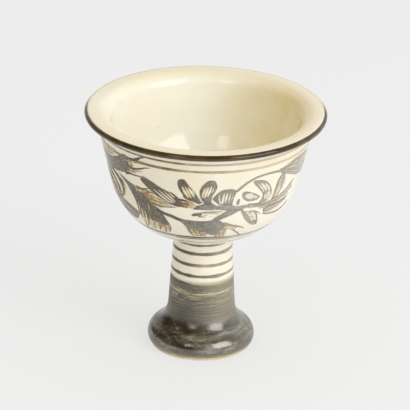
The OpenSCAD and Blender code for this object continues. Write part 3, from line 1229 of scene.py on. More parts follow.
# The flower spray, from left to right as it faces the viewer, bottom layer first
LEAVES = (
    leaf(
        ((-94, 39.4), (-90, 40.6), (-84, 41.6), (-74, 42.4), (-66, 42.2), (-60, 41.8), (-55.6, 42)),
        ((-94, 39), (-90, 37.4), (-84, 36.4), (-74, 36.4), (-66, 36.8), (-60, 37.8), (-54.4, 40.6)),
        0.42, 0.5,
    ),
    leaf(
        ((-47.5, 41.5), (-43.5, 41), (-39.5, 41.4)),
        ((-47.5, 36), (-43.8, 36.4), (-40.5, 38.8)),
        0.34, 0.55,
    ),
    leaf(
        ((-49, 36), (-44, 36), (-39.5, 36), (-35.5, 36)),
        ((-49, 32.6), (-45, 33), (-41, 34), (-36.5, 35.4)),
        0.36, 0.6,
    ),
    leaf(
        ((-99, 33), (-95, 34.8), (-89, 36.4), (-80, 37), (-70, 36.2), (-63, 36.4), (-58, 37.8),
         (-54, 39.6), (-50, 41.4), (-47.3, 41.8), (-45.2, 40.9)),
        ((-99, 32.6), (-95, 31.4), (-89, 30.6), (-80, 30), (-70, 29.3), (-63, 29.7), (-57, 30.4),
         (-52.5, 31.2), (-49.5, 31.9), (-47.6, 33.8), (-46.2, 36)),
        0.84, 0.35,
    ),
    leaf(
        ((-65, 30), (-59, 27.4), (-55.8, 23.8), (-55.4, 20.6), (-58, 17.8), (-63, 15.8)),
        ((-72, 29.6), (-80, 27.8), (-85, 25), (-86, 21.4), (-82, 18), (-73, 15.6)),
        0.62, 0.2,
    ),
    leaf(
        ((-97, 7), (-92, 10), (-84, 13), (-72, 15.4), (-62, 15.9), (-56, 15), (-51, 13.6), (-47, 12.5),
         (-44.8, 12)),
        ((-97, 6.6), (-92, 4.4), (-84, 2.6), (-72, 1.6), (-62, 3.4), (-54, 5), (-50, 6.4), (-47, 8.6),
         (-44.7, 11)),
        0.95, 0.15,
    ),
    leaf(
        ((-22.6, 10.5), (-21.9, 7.5), (-22.6, 4.6), (-25, 1.8)),
        ((-45, 12.5), (-44.6, 8.5), (-45, 5), (-47, 1.6)),
        0.3, 0.5,
    ),
    leaf(
        ((-50, 27.4), (-44, 26.8), (-38, 26.6), (-32, 26.4), (-26, 24.2), (-19, 21.2)),
        ((-48, 23), (-42, 21), (-36, 19.6), (-30, 18.4), (-25, 18.6), (-18, 19.8)),
        0.38, 0.7,
    ),
    leaf(
        ((-57.6, 29.8), (-53, 28.6), (-49, 27.4), (-45.4, 26.7), (-43.6, 25), (-42.6, 23.8),
         (-39.6, 24), (-36.6, 23.4), (-34, 21.6), (-31.4, 19), (-28, 17.8), (-25.6, 15), (-23.8, 12.2),
         (-22.4, 10), (-22.8, 8.2)),
        ((-57.8, 29.2), (-54.4, 27.2), (-51.4, 25.4), (-49.4, 23.4), (-47.4, 21), (-45.8, 18.8),
         (-45, 16.4), (-44.9, 14), (-44.8, 11.8), (-44, 9)),
        0.87, 0.32,
    ),
    leaf(
        ((-30, 18.6), (-25, 16.8), (-20, 15.9), (-15.5, 14.6), (-12, 13.9)),
        ((-29, 16), (-25.5, 14.9), (-21, 13.9), (-17.5, 13), (-13.8, 11.8)),
        0.75, 0.0,
    ),
    leaf(
        ((-12.2, 10.6), (-11, 7.4), (-9.6, 4.4), (-6.6, 1.8)),
        ((-3, 9), (-1.6, 7), (0.4, 4.4), (1.6, 2)),
        0.3, 0.3,
    ),
    leaf(((6, 9), (7.6, 5), (8.4, 0.8)), ((15, 9.6), (15.6, 6), (15.8, 0.8)), 0.4, 0.4),
    leaf(
        ((12, 12.6), (16, 11.4), (21, 9.8), (24, 8.8)),
        ((12.4, 8.4), (15, 7.4), (18.6, 6.6), (21.6, 6.4)),
        0.28, 0.3,
    ),
    leaf(
        ((-15.5, 14.3), (-12, 13.9), (-8, 13.7), (-3, 13.5), (1, 13.5), (5, 14), (8.5, 14.4),
         (12, 12.8), (15, 11)),
        ((-15.5, 13.2), (-13.4, 11.4), (-11.2, 9.8), (-8.6, 8.8), (-5.6, 8), (-2.4, 6.6), (0.6, 5.4),
         (4, 4), (7.4, 3.4), (10, 5), (12.6, 8)),
        0.94, 0.45,
    ),
    leaf(
        ((24, 21.4), (18, 20.6), (13.5, 19), (10, 17.2), (7, 15.8), (4.6, 13.8)),
        ((24, 19), (20.5, 17.9), (16, 16.3), (12.4, 15), (10, 14)),
        0.85, 0.0,
    ),
    leaf(
        ((-2, 18.4), (2, 18.8), (7, 18.6), (11, 18.6)),
        ((-2, 16.8), (2, 16.5), (6, 16.2), (10, 17.2)),
        0.12, 0.3,
    ),
    leaf(
        ((-7.7, 16.7), (-6.2, 17.9), (-3.6, 18.3), (-0.6, 18.5)),
        ((-7.7, 16.6), (-6, 16.2), (-3.4, 16.4), (-1, 16.6)),
        0.72, 0.15,
    ),
    leaf(
        ((-16, 24.4), (-12, 25.2), (-8.2, 25), (-4, 23), (-0.5, 21.2)),
        ((-16.5, 20.9), (-12, 20.4), (-8, 20.3), (-4, 20.2), (-0.5, 20)),
        0.3, 0.45,
    ),
    leaf(
        ((46, 36.8), (52, 37.6), (58, 38.8), (65, 39), (74, 38), (82, 36.2), (89, 34)),
        ((48, 35.4), (53, 34.6), (59, 34), (66, 33), (74, 32), (82, 32.4), (89, 33.6)),
        0.56, 0.35,
    ),
    leaf(
        ((45, 36.9), (49, 36.1), (53, 35), (58, 34), (65, 32.8), (74, 31.6), (82, 30.6), (88, 28.8)),
        ((46, 36.1), (49.4, 33.7), (53, 32.1), (58, 30.6), (64, 28.6), (72, 26.6), (81, 26.6),
         (88, 28.4)),
        0.8, 0.4,
    ),
)

PETALS = (
    leaf(
        ((-38.4, 31.8), (-37.6, 33), (-36, 33.6), (-33, 33), (-29, 31.4), (-25, 29.8), (-21, 28.5),
         (-18.2, 28), (-16, 26.6), (-13.6, 24.8)),
        ((-38.4, 31.6), (-38, 30.6), (-36, 29.3), (-33.4, 27.6), (-31, 26.2), (-28, 24.7), (-25, 23.4),
         (-22, 22.2), (-19, 21.3), (-15, 20.6)),
        0.73, 0.1,
    ),
    leaf(
        ((-18, 22.6), (-14.4, 25.2), (-10, 24.9)),
        ((-17, 20.9), (-13, 21.2), (-10.6, 22.8)),
        0.47, 0.7,
    ),
    leaf(
        ((-4, 22.2), (-0.6, 23.2), (1, 24.2), (4.4, 24.2), (7, 22.6), (10, 22.2), (16, 22.3),
         (20, 21.3), (25, 21.7), (30, 21.4)),
        ((-7, 20.1), (-1, 20), (3, 20), (8, 20), (13, 19.5), (19, 19), (24, 19.4), (30, 19.8)),
        0.85, 0.1,
    ),
    leaf(
        ((-12.6, 36.3), (-14.2, 35.6), (-14.9, 33.8), (-14.4, 31.4), (-13.2, 29.2), (-12.1, 27.6),
         (-11.6, 26.2), (-9, 25), (-6, 24.2), (-3, 22.9)),
        ((-12.6, 36.3), (-11, 36.2), (-9.8, 35), (-8.6, 33.2), (-7, 31.4), (-5.2, 29.6), (-4, 28),
         (-2.8, 26.2), (-1.4, 24.8), (-0.6, 23.6)),
        0.78, 0.1,
    ),
    leaf(
        ((3.6, 36.3), (2, 35.9), (0.3, 34.4), (-1.2, 32.6), (-2.2, 30.6), (-2.3, 28.8), (-1.6, 26.4),
         (0, 24.2), (1.4, 22.6)),
        ((3.6, 36.3), (5.4, 36.1), (6.8, 34.6), (7.3, 32.9), (6.7, 30.9), (5.6, 29), (4.6, 27),
         (4.2, 25.2), (4.4, 22.8)),
        0.84, 0.1,
    ),
    leaf(
        ((13, 31.1), (10.4, 30.8), (8.2, 29.6), (6.4, 27.8), (5.1, 26.2), (5.8, 25.1), (7.6, 23.8),
         (9.4, 22.4)),
        ((13, 31.1), (16, 31), (18, 30.2), (18.4, 29), (17.7, 27), (17.1, 24.6), (16.6, 22)),
        0.7, 0.1,
    ),
    leaf(
        ((22.1, 27.4), (22.8, 28.4), (24.6, 28.6), (27.5, 27.8), (31, 26.5), (33.6, 25.2),
         (34.7, 24.3)),
        ((22.1, 27.2), (22.6, 25.8), (24.2, 24.4), (26.6, 23.2), (30, 22.9), (33, 23.2), (34.7, 24)),
        0.65, 0.1,
    ),
    leaf(
        ((28, 34.1), (31, 33.8), (34, 33.2), (37, 32), (39.4, 30.3), (41.4, 28), (42.6, 25.9),
         (43.2, 24.6), (42, 22.2), (39.5, 20.6)),
        ((28, 34), (28.6, 32.6), (30.6, 30.8), (33, 28.7), (35, 26.9), (36.2, 25.3), (36.4, 24),
         (35.8, 22.6), (34.6, 21.4), (33, 20.6)),
        0.65, 0.1,
    ),
    leaf(
        ((49.5, 34.5), (47.4, 32.4), (46.1, 30.4), (45.5, 28.2), (45.2, 25.6), (44.6, 22.8),
         (43.8, 20.4)),
        ((49.5, 34.5), (51.6, 32.2), (52.7, 30), (52.9, 27.6), (52, 25.4), (50.2, 23.2), (47.6, 20.6)),
        0.6, 0.2,
    ),
    leaf(
        ((30, 21), (36, 20.4), (43, 20.6), (50, 21.6), (57, 23.6), (64, 26.8)),
        ((33, 19), (38, 18.4), (44, 18.2), (50, 18.4), (57, 19.6), (64, 21.6)),
        0.14, 0.2,
    ),
    leaf(
        ((27, 21.7), (31, 21.2), (35, 20.6), (39.4, 20)),
        ((27, 19.3), (31, 18.8), (35, 18.6), (39.4, 18.9)),
        0.6, 0.4,
    ),
    leaf(
        ((38, 17), (42, 17.6), (48, 17.6), (54, 17.6), (60, 18.6)),
        ((39.5, 14.6), (43, 14.2), (48, 14.4), (53, 15.4), (60, 17.4)),
        0.5, 0.4,
    ),
    leaf(
        ((24, 18.8), (28.6, 17.4), (32.4, 16.6), (34.6, 14)),
        ((25, 16.2), (27.6, 13), (30.6, 10.6), (34, 9.4)),
        0.06, 0.1,
    ),
    leaf(((31.6, 10), (33.6, 11), (35.4, 11)), ((33.8, 8), (35.6, 7.6), (37.6, 8)), 0.65, 0.2),
)

TENDRILS = (
    line(((-44.8, 40.4), (-41, 40.9), (-38.4, 42), (-36, 43.3), (-33, 44.2)), (1.6, 1.5, 0.4), 0.74),
    line(((-39.6, 41), (-39.8, 40), (-39.6, 38.9)), (1.0, 0.7, 0.3), 0.5),
    line(((-47, 36.2), (-42.5, 36), (-38, 36.9), (-34, 38.3), (-30.3, 39.1)), (1.4, 1.0, 0.4), 0.68),
    line(((-43.6, 38.8), (-43.8, 37.4), (-43.2, 36.2)), (0.4, 0.7, 0.5), 0.5),
    line(((-50.5, 31.4), (-46.5, 32.3), (-41.5, 32.5), (-37.4, 32.9)), (1.5, 0.9, 0.6), 0.66),
    line(((-60, 27.6), (-56.5, 26.2), (-54.2, 24.4), (-52.4, 22.2)), (0.5, 0.9, 0.4), 0.58),
    line(((-61, 25.8), (-58, 25), (-55.6, 23.6)), (0.5, 0.8, 0.4), 0.5),
    line(((-43, 26.2), (-38.5, 26.2), (-35, 27), (-32.6, 27.9)), (1.6, 0.9, 0.4), 0.66),
    line(((-42, 23.4), (-37.5, 24), (-33.5, 25.2), (-30.5, 26)), (1.4, 0.9, 0.4), 0.52),
    line(((-38, 23.2), (-33, 23.6), (-28.5, 23.4), (-25.8, 22.6)), (1.2, 0.8, 0.4), 0.5),
    line(((-35, 22), (-30, 21.8), (-25.5, 21.2), (-22, 20.6)), (1.2, 0.8, 0.4), 0.48),
    line(((-32.5, 20), (-27.5, 19.6), (-22, 19.7), (-16.5, 20.3)), (1.3, 0.7, 0.4), 0.52),
    line(((-40.4, 10), (-41, 7.6), (-42.8, 4.8), (-45.4, 1.9)), (0.8, 1.0, 0.4), 0.5),
    line(((-34, 8.6), (-35, 5.6), (-36.4, 2.2)), (0.8, 0.8, 0.4), 0.42),
    line(((-30, 8.6), (-30.8, 5.4), (-32.4, 2)), (0.8, 0.8, 0.4), 0.42),
    line(((-26, 8.6), (-26.4, 5), (-28, 1.4)), (0.9, 0.8, 0.4), 0.44),
    line(((-22.6, 8.8), (-22.7, 6), (-24.4, 2.6)), (1.0, 0.9, 0.4), 0.5),
    line(((0.8, 6.6), (1.2, 4.4), (1.6, 2)), (1.6, 1.4, 0.8), 0.36),
    line(((-10.2, 8.8), (-8.8, 5.6), (-6.8, 2.6)), (0.9, 0.9, 0.4), 0.48),
    line(((-6.6, 8), (-5.2, 5), (-3.4, 2.2)), (0.9, 0.8, 0.4), 0.42),
    line(((-3, 6.8), (-2, 4.4), (-0.8, 2)), (0.8, 0.8, 0.4), 0.44),
    line(((-1.4, 18.4), (2.6, 18.9), (7, 18.9), (11.6, 19)), (0.6, 0.7, 0.5), 0.5),
    line(((-3.4, 16.3), (-0.6, 16.2), (1.6, 16.1)), (0.8, 0.6, 0.4), 0.5),
    line(((-17.6, 24.4), (-13.6, 24.6), (-9.4, 24.6)), (1.7, 1.2, 0.4), 0.68),
    line(((-18, 23), (-13.4, 22.9), (-8.4, 22.4)), (1.7, 1.0, 0.4), 0.62),
    line(((-18, 21.8), (-13.6, 21.5), (-9, 21)), (1.5, 0.9, 0.4), 0.56),
    line(
        ((-61, 28.6), (-57, 26.2), (-55, 23), (-55.2, 20.2), (-58, 17.6), (-63, 15.6), (-70, 14.6)),
        (0.6, 1.0, 0.7), 0.5,
    ),
    line(
        ((18.4, 29.3), (20.5, 30.8), (23, 32.6), (26, 34.2), (29, 35.3), (33, 36), (38, 36.2),
         (43, 35.9), (46.2, 35.4), (49, 34.2)),
        (1.3, 1.1, 1.2), 0.64,
    ),
    line(((20.6, 25.3), (20.3, 23.6), (20.2, 21.8)), (1.0, 1.4, 1.2), 0.7),
    line(
        ((13, 11.9), (16, 10.9), (19.5, 9.7), (23, 8.9), (26, 7.9), (28.4, 6.7)),
        (1.5, 1.1, 0.6), 0.5,
    ),
    line(((20, 6.9), (22, 5.5), (24.6, 3.7), (27, 1.8), (28.6, 1)), (0.6, 1.0, 0.4), 0.54),
    line(((30, 20.6), (36, 20), (43, 20.2), (50, 21), (57, 23), (64, 26.4)), (0.6, 1.2, 0.8), 0.42),
    line(((36, 19.3), (43, 19.1), (50, 19.4), (57, 20.6), (64, 22.4)), (1.0, 1.0, 0.6), 0.6),
    line(((35, 17.8), (41, 18), (48, 17.9), (55, 18.2), (62, 19.6)), (0.7, 0.8, 0.5), 0.52),
    line(((39, 14.3), (43, 13.2), (48, 12.4), (54, 12.1), (59, 13), (64, 14.8)), (0.8, 1.2, 0.6), 0.62),
    line(
        ((23.2, 18.8), (25.2, 16.6), (27.2, 14.4), (29.2, 12.2), (31.4, 10.1), (33.4, 8.4)),
        (1.2, 2.2, 0.6), 0.58,
    ),
    line(
        ((28.6, 17.4), (32, 16.9), (34, 15.2), (35.2, 13), (36.2, 10.6), (37.2, 8.2)),
        (0.5, 0.7, 0.9), 0.54,
    ),
    line(((28.6, 17.5), (33, 16.7), (36, 15.2), (38.2, 14)), (0.5, 0.7, 0.4), 0.44),
)

# Lines scratched through the pigment to the white slip, some not quite clean
SCRATCHES = (
    line(((-30, 28.2), (-25.6, 25.6), (-21.5, 23.4), (-18, 22.4)), (0.5, 1.0, 0.6), 0.0),
    line(((-27, 28.5), (-22.9, 25.9), (-19.4, 23.9), (-16.8, 22.8)), (0.5, 1.0, 0.7), 0.02),
    line(((-23.6, 28.4), (-20.4, 26.2), (-17.8, 24.4), (-16.2, 23.6)), (0.4, 0.9, 0.6), 0.0),
    line(((-20.6, 27.9), (-18.6, 26.8), (-16.6, 25.4)), (0.6, 1.0, 0.6), 0.14),
    line(((-12.3, 32.4), (-11.2, 30.2), (-10, 28.3), (-8.6, 26.4)), (0.7, 1.5, 0.9), 0.1),
    line(((-10.5, 32.6), (-9.3, 30.2), (-8.2, 28.2), (-7, 26.2)), (0.6, 1.4, 0.8), 0.16),
    line(((-8.9, 32.3), (-7.5, 30.2), (-6.3, 28.4), (-5.4, 26.8)), (0.6, 1.4, 0.7), 0.05),
    line(((-7.2, 31.2), (-6, 29.6), (-4.9, 28)), (0.5, 1.1, 0.6), 0.2),
    line(((1, 32.5), (0.1, 30.4), (-0.6, 28.4), (-0.8, 26.6)), (0.6, 1.3, 0.8), 0.14),
    line(((2.6, 33), (1.8, 30.8), (1, 28.6), (0.4, 26.4)), (0.6, 1.5, 0.8), 0.05),
    line(((4.2, 33.4), (3.5, 31), (2.7, 29), (1.9, 27.2)), (0.6, 1.4, 0.7), 0.0),
    line(((9, 29), (8.6, 27), (9.2, 24.8), (9.9, 23)), (0.6, 1.0, 1.3), 0.14),
    line(((11.5, 29.3), (11.2, 27), (10.9, 25), (10.4, 23)), (0.6, 1.3, 1.2), 0.0),
    line(((13.3, 29.5), (13, 27.2), (12.6, 25), (12.4, 23.6)), (0.6, 1.3, 0.7), 0.0),
    line(((15.1, 29.4), (14.9, 27), (14.6, 25), (14.4, 23.4)), (0.6, 1.0, 0.6), 0.05),
    line(((24, 26.7), (27, 26), (30, 25.1)), (1.6, 3.3, 1.9), 0.03),
    line(((29.4, 25.3), (31, 24.9), (32.8, 24.4)), (1.6, 1.8, 0.9), 0.08),
    line(((31, 32.4), (33.2, 30.4), (35.2, 28.2), (36.6, 26.4)), (0.5, 1.2, 0.9), 0.08),
    line(((33.2, 32.2), (35.4, 30.2), (37.2, 28.3), (38.4, 26.6)), (0.7, 1.7, 1.1), 0.0),
    line(((36, 31.6), (38, 29.8), (39.6, 28), (40.8, 26)), (0.7, 1.6, 1.2), 0.05),
    line(((39.4, 26.4), (40.4, 24.8), (40.6, 23.2), (39.6, 21.6)), (1.6, 3.0, 1.6), 0.16),
    line(((37.6, 25.6), (38.2, 24), (37.8, 22.2)), (0.8, 1.8, 1.0), 0.06),
    line(((48.6, 29), (48.2, 26.6), (47.6, 24.2), (46.4, 21.6)), (0.9, 2.6, 1.6), 0.2),
    line(((51, 31), (51.2, 28.8), (50.6, 26.4)), (0.5, 1.1, 0.6), 0.03),
    line(((-41.4, 15.5), (-41.6, 12), (-42.2, 8.4)), (0.6, 1.0, 0.7), 0.1),
    line(((-38.9, 14.5), (-39.2, 11), (-40.4, 7), (-42.4, 4)), (0.6, 1.2, 0.7), 0.08),
    line(((-43, 18.6), (-42.9, 16), (-43.2, 13)), (0.6, 0.9, 0.6), 0.25),
    line(((-35.4, 20), (-34.8, 17.6), (-35.2, 15)), (0.6, 0.9, 0.6), 0.3),
    line(((-62, 13.2), (-55, 10.8), (-48.5, 8.4)), (0.5, 1.1, 0.5), 0.06),
    line(((-68, 10.4), (-58, 7.8), (-51, 6.4)), (0.6, 1.2, 0.5), 0.08),
    line(((-60, 15), (-54, 12.9), (-48.5, 10.6)), (0.4, 0.8, 0.4), 0.15),
    line(((-67, 28.8), (-61.4, 25.4), (-58.2, 22), (-58.2, 19.2)), (1.2, 2.2, 1.4), 0.03),
    line(((-72, 27.4), (-66, 23.6), (-62.8, 20.6), (-62.8, 18.2)), (1.0, 1.6, 1.0), 0.1),
    line(((-82, 25.6), (-72, 21.2), (-68, 17.8)), (1.0, 1.6, 1.0), 0.16),
    line(((5.3, 32.8), (4.9, 30.8), (4.1, 29)), (0.5, 1.0, 0.4), 0.12),
    line(((16.6, 28.6), (16.4, 26.6), (16, 24.4)), (0.4, 0.8, 0.4), 0.1),
    line(((49.2, 33), (48, 30.4), (47.4, 27.6)), (0.5, 1.2, 0.6), 0.05),
    line(((40, 16.5), (46, 16.5), (52, 16.8), (58, 17.7)), (0.4, 0.9, 0.5), 0.04),
    line(((41, 15.3), (46, 15.2), (51, 15.6)), (0.4, 0.8, 0.4), 0.1),
    line(((50, 35.7), (56, 35.2), (63, 33.8)), (0.4, 1.2, 0.6), 0.14),
    line(((53, 33.7), (58, 32.5), (65, 30.6)), (0.4, 1.1, 0.6), 0.24),
    line(((54, 37), (60, 37.1), (67, 35.8)), (0.4, 1.0, 0.5), 0.18),
)


@dataclass(frozen=True)
class Ring:
    """A line drawn round the cup on the wheel, with its load at some places round it."""

    height: float
    width: float
    loads: tuple[Point, ...]

    def load_at(self, degrees: float) -> float:
        """How dark the line is at an angle round the cup, smoothly from place to place.

        Args:
            degrees: the angle.

        Returns:
            The load, from 0 to 1.
        """
        places = [(a + turn, v) for turn in (-360, 0, 360) for a, v in self.loads]
        i = next(i for i, (a, _) in enumerate(places) if a > degrees)
        (a, low), (b, high) = places[i - 1], places[i]
        share = (degrees - a) / (b - a)
        return low + (high - low) * share * share * (3 - 2 * share)


RIM_LINES = (
    Ring(
        107.7,
        1.8,
        (
            (-120, 0.6), (-50, 0.54), (-16, 0.58), (-8, 0.36), (12, 0.34), (25, 0.36), (50, 0.26),
            (120, 0.5),
        ),
    ),
    Ring(
        103.7,
        1.8,
        (
            (-120, 0.5), (-50, 0.52), (-25, 0.53), (-10, 0.4), (15, 0.38), (28, 0.26), (50, 0.24),
            (120, 0.5),
        ),
    ),
)
BELLY_LINES = (
    Ring(62.0, 1.4, ((-120, 0.55), (-30, 0.64), (0, 0.58), (40, 0.5), (120, 0.5))),
    Ring(65.3, 1.5, ((-120, 0.4), (-30, 0.5), (0, 0.48), (40, 0.36), (120, 0.4))),
    Ring(66.5, 1.6, ((-120, 0.62), (-30, 0.66), (0, 0.72), (15, 0.68), (40, 0.54), (120, 0.6))),
)
STEM_RINGS = (
    Ring(53.0, 1.5, ((-120, 0.5), (-50, 0.56), (-10, 0.62), (15, 0.58), (50, 0.42), (120, 0.5))),
    Ring(48.7, 1.9, ((-120, 0.62), (-30, 0.68), (-8, 0.62), (20, 0.55), (60, 0.54), (120, 0.6))),
    Ring(
        43.1,
        1.9,
        ((-120, 0.62), (-40, 0.66), (-22, 0.56), (-8, 0.44), (10, 0.44), (40, 0.5), (120, 0.6)),
    ),
    Ring(37.8, 1.9, ((-120, 0.62), (-40, 0.68), (0, 0.6), (20, 0.55), (60, 0.5), (120, 0.6))),
)


@dataclass
class Painting:
    """The iron painting on the bowl and the upper stem, as thin coats of pigment in the glaze."""

    lift_mm: float = 0.03
    layer_mm: float = 0.002
    sink_mm: float = 0.08
    cell_mm: float = 0.55
    bleed_mm: float = 0.2
    broad_mm: float = 3.0
    spray_turns: tuple[Point, ...] = ((0.0, 0.0), (180.0, -0.4))
    waver_mm: float = 0.12
    waver_r: float = 1.3
    chance_scale: float = 3.0
    ring_cells: int = 4
    probes: int = 12
    marks_shift: float = 90.0
    seed: int = 11
    # Shares of a ring's width: always there, by its load, and by chance
    ring_shares: Triple = (0.75, 0.35, 0.25)

    def build(self) -> None:
        """Builds the sprays of flowers and the lines round the cup."""
        first = 0
        for name, strokes, touch in (
            ("painted_leaves", LEAVES, Touch.LEAF),
            ("painted_petals", PETALS, Touch.LEAF),
            ("painted_tendrils", TENDRILS, Touch.LINE),
            ("scratched_lines", SCRATCHES, Touch.LINE),
        ):
            self.draw(name, strokes, touch, first)
            first += len(strokes)
        self.rings("painted_rim_lines", RIM_LINES, "rim_lines")
        self.rings("painted_belly_lines", BELLY_LINES, "belly_lines")
        self.rings("painted_stem_rings", STEM_RINGS, "stem_rings")

    def draw(self, name: str, strokes: tuple[Stroke, ...], touch: Touch, first: int) -> None:
        """Draws the sprays' strokes of one kind, on the front and on the back.

        Args:
            name: name of the piece.
            strokes: its strokes, bottom one first.
            touch: how the brush was used.
            first: layer of the bottom stroke.
        """
        mesh = self.canvas([trait for trait, _ in strokes[0].traits])
        draws = random.Random(self.seed)
        for turn, shift in self.spray_turns:
            for layer, stroke in enumerate(strokes, first):
                along, across = self.cells(stroke)
                edges = [
                    [Vector((p.x + turn, p.y + shift)) for p in smooth_path(edge, along + 1)]
                    for edge in (stroke.near, stroke.far)
                ]
                lift = self.lift_mm + layer * self.layer_mm
                verts = self.sheet(mesh, edges, across, lift, draws.uniform(0, self.marks_shift))
                for trait, value in stroke.traits:
                    for vert in verts:
                        vert[mesh.verts.layers.float[trait]] = value
        self.thicken(mesh)
        place_piece(name, mesh, touch.value)

    def canvas(self, traits: list[str]) -> bmesh.types.BMesh:
        """A new mesh with places for what its brush strokes carry.

        Args:
            traits: names of the numbers that a stroke carries.

        Returns:
            The mesh.
        """
        mesh = bmesh.new()
        for vector in ("spot", "brush"):
            mesh.verts.layers.float_vector.new(vector)
        for trait in traits:
            mesh.verts.layers.float.new(trait)
        return mesh

    def cells(self, stroke: Stroke) -> tuple[int, int]:
        """Number of cells of a stroke.

        Args:
            stroke: the stroke.

        Returns:
            Cells along it and across it.
        """
        near, far = (smooth_path(edge, self.probes) for edge in (stroke.near, stroke.far))
        degree = math.radians(PROFILE.on_wall(near[self.probes // 2].y, 0.0).x)
        flat = [[Vector((p.x * degree, p.y)) for p in edge] for edge in (near, far)]
        length = max(runs_along(edge)[-1] for edge in flat)
        width = max((a - b).length for a, b in zip(*flat))
        across = math.ceil(width / self.cell_mm / 2) * 2
        return max(6, math.ceil(length / self.cell_mm)), max(2, across)

    def sheet(
        self,
        mesh: bmesh.types.BMesh,
        edges: list[list[Vector]],
        across: int,
        lift: float,
        seed: float,
        closed: bool = False,
    ) -> list[bmesh.types.BMVert]:
        """Lays a sheet between two edges on the cup's outside.

        Args:
            mesh: mesh that gets the sheet.
            edges: its two edges, with as many points each (degrees, mm up the wall).
            across: number of cells from edge to edge.
            lift: how far it lies off the glaze (mm).
            seed: shift of its brush marks.
            closed: whether it runs right round the cup, without ends.

        Returns:
            The sheet's vertices.
        """
        spot = mesh.verts.layers.float_vector["spot"]
        brush = mesh.verts.layers.float_vector["brush"]
        along = len(edges[0]) - 1
        runs = [self.lengths(edge) for edge in edges]
        made = bmesh.ops.create_grid(mesh, x_segments=along, y_segments=across, size=0.5)["verts"]
        for vert in made:
            i = round((vert.co.x + 0.5) * along)
            share = vert.co.y + 0.5
            span = edges[1][i] - edges[0][i]
            degree = math.radians(PROFILE.on_wall(edges[0][i].y, lift).x)
            width = Vector((span.x * degree, span.y)).length
            if not closed:
                reach = self.bleed_mm / max(width, self.broad_mm)
                width += 2 * reach * width
                place = edges[0][i] + span * (share + reach * (2 * share - 1))
            else:
                place = edges[0][i] + span * share
            section = PROFILE.on_wall(place.y, lift)
            run, end = (runs[0][k] + (runs[1][k] - runs[0][k]) * share for k in (i, -1))
            rim = min(share, 1 - share) * width
            vert[spot] = (i / along, share, rim if closed else min(rim, run, end - run))
            vert[brush] = (run, share * width, seed)
            angle = math.radians(place.x)
            vert.co = Vector((math.sin(angle), -math.cos(angle), 0.0)) * section.x * MM
            vert.co.z = section.y * MM
        return made

    def lengths(self, edge: list[Vector]) -> list[float]:
        """How far along an edge on the cup each of its points lies.

        Args:
            edge: points of the edge (degrees, mm up the wall).

        Returns:
            The distances (mm).
        """
        degree = math.radians(PROFILE.on_wall(edge[len(edge) // 2].y, 0.0).x)
        steps = [b - a for a, b in zip(edge, edge[1:])]
        return [0.0, *accumulate(math.hypot(step.x * degree, step.y) for step in steps)]

    def thicken(self, mesh: bmesh.types.BMesh) -> None:
        """Turns sheets to face outwards and sinks their backs into the glaze, as closed coats.

        Args:
            mesh: mesh of the sheets.
        """
        bmesh.ops.remove_doubles(mesh, verts=mesh.verts, dist=SHEET_GAP)
        mesh.normal_update()
        turned_in = [f for f in mesh.faces if f.normal.xy.dot(f.calc_center_median().xy) < 0]
        bmesh.ops.reverse_faces(mesh, faces=turned_in)
        bmesh.ops.solidify(mesh, geom=mesh.faces[:], thickness=self.sink_mm * MM)

    def rings(self, name: str, rings: tuple[Ring, ...], node: str) -> None:
        """Draws lines round the cup, each a little uneven in height and width.

        Args:
            name: name of the piece.
            rings: its lines.
            node: the CAD node that it replaces.
        """
        mesh = self.canvas(["load"])
        layer = mesh.verts.layers.float["load"]
        steady, loaded, chance = self.ring_shares
        for ring in rings:
            middle = PROFILE.run_at(ring.height, PROFILE.wall_runs)
            near, far, loads = [], [], []
            for i in range(ROUND_STEPS + 1):
                degrees = -180 + 360 * i / ROUND_STEPS
                angle = math.radians(degrees)
                around = self.waver_r * math.cos(angle), self.waver_r * math.sin(angle)
                spot = Vector((*around, ring.height))
                waver = self.waver_mm * noise.noise(spot)
                load = ring.load_at(degrees)
                share = steady + loaded * load + chance * noise.noise(self.chance_scale * spot)
                half = ring.width / 2 * share
                near.append(Vector((degrees, middle + waver - half)))
                far.append(Vector((degrees, middle + waver + half)))
                loads.append(load)
            verts = self.sheet(mesh, [near, far], self.ring_cells, self.lift_mm, 0.0, closed=True)
            spots = mesh.verts.layers.float_vector["spot"]
            for vert in verts:
                vert[layer] = loads[round(vert[spots].x * ROUND_STEPS)]
        self.thicken(mesh)
        place_piece(name, mesh, Touch.LINE.value, (node,))


@dataclass
class ClayBody:
    """The fired clay and slip that the CAD solids show or hide under the glaze."""

    stoneware: Finish = field(default_factory=FiredClay)
    slip: Finish = field(
        default_factory=lambda: FiredClay(
            name="white_slip", roughness=0.7, light="#efe8d3", toasted="#e6dcbf", grain="#b9a67c"
        )
    )
    nodes: tuple[str, ...] = ("bowl_body", "stem_foot_body", "luting_slip")

    def build(self) -> None:
        """Gives the CAD solids their finishes."""
        for name in self.nodes:
            self.dress(name, self.stoneware)
        self.dress("slip_coat", self.slip)

    def dress(self, name: str, finish: Finish) -> None:
        """Gives one CAD solid its finish.

        Args:
            name: name of its node.
            finish: the finish.
        """
        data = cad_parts[name].data
        data.materials.clear()
        data.materials.append(finish.material())
        LOG.info("%s: %s", name, finish.name)


def seen_rays(tree: Tree) -> Node:
    """Adds nodes that give 1 where a surface is seen, straight or mirrored, and 0 where it lights.

    Args:
        tree: node tree that gets them.

    Returns:
        The last of the nodes.
    """
    rays = add_node(tree, "LightPath").outputs
    seen = rays["Is Camera Ray"]
    for kind in ("Is Glossy Ray", "Is Transmission Ray"):
        seen = add_node(tree, "Math", (seen, rays[kind]), operation="ADD", use_clamp=True)
    return seen


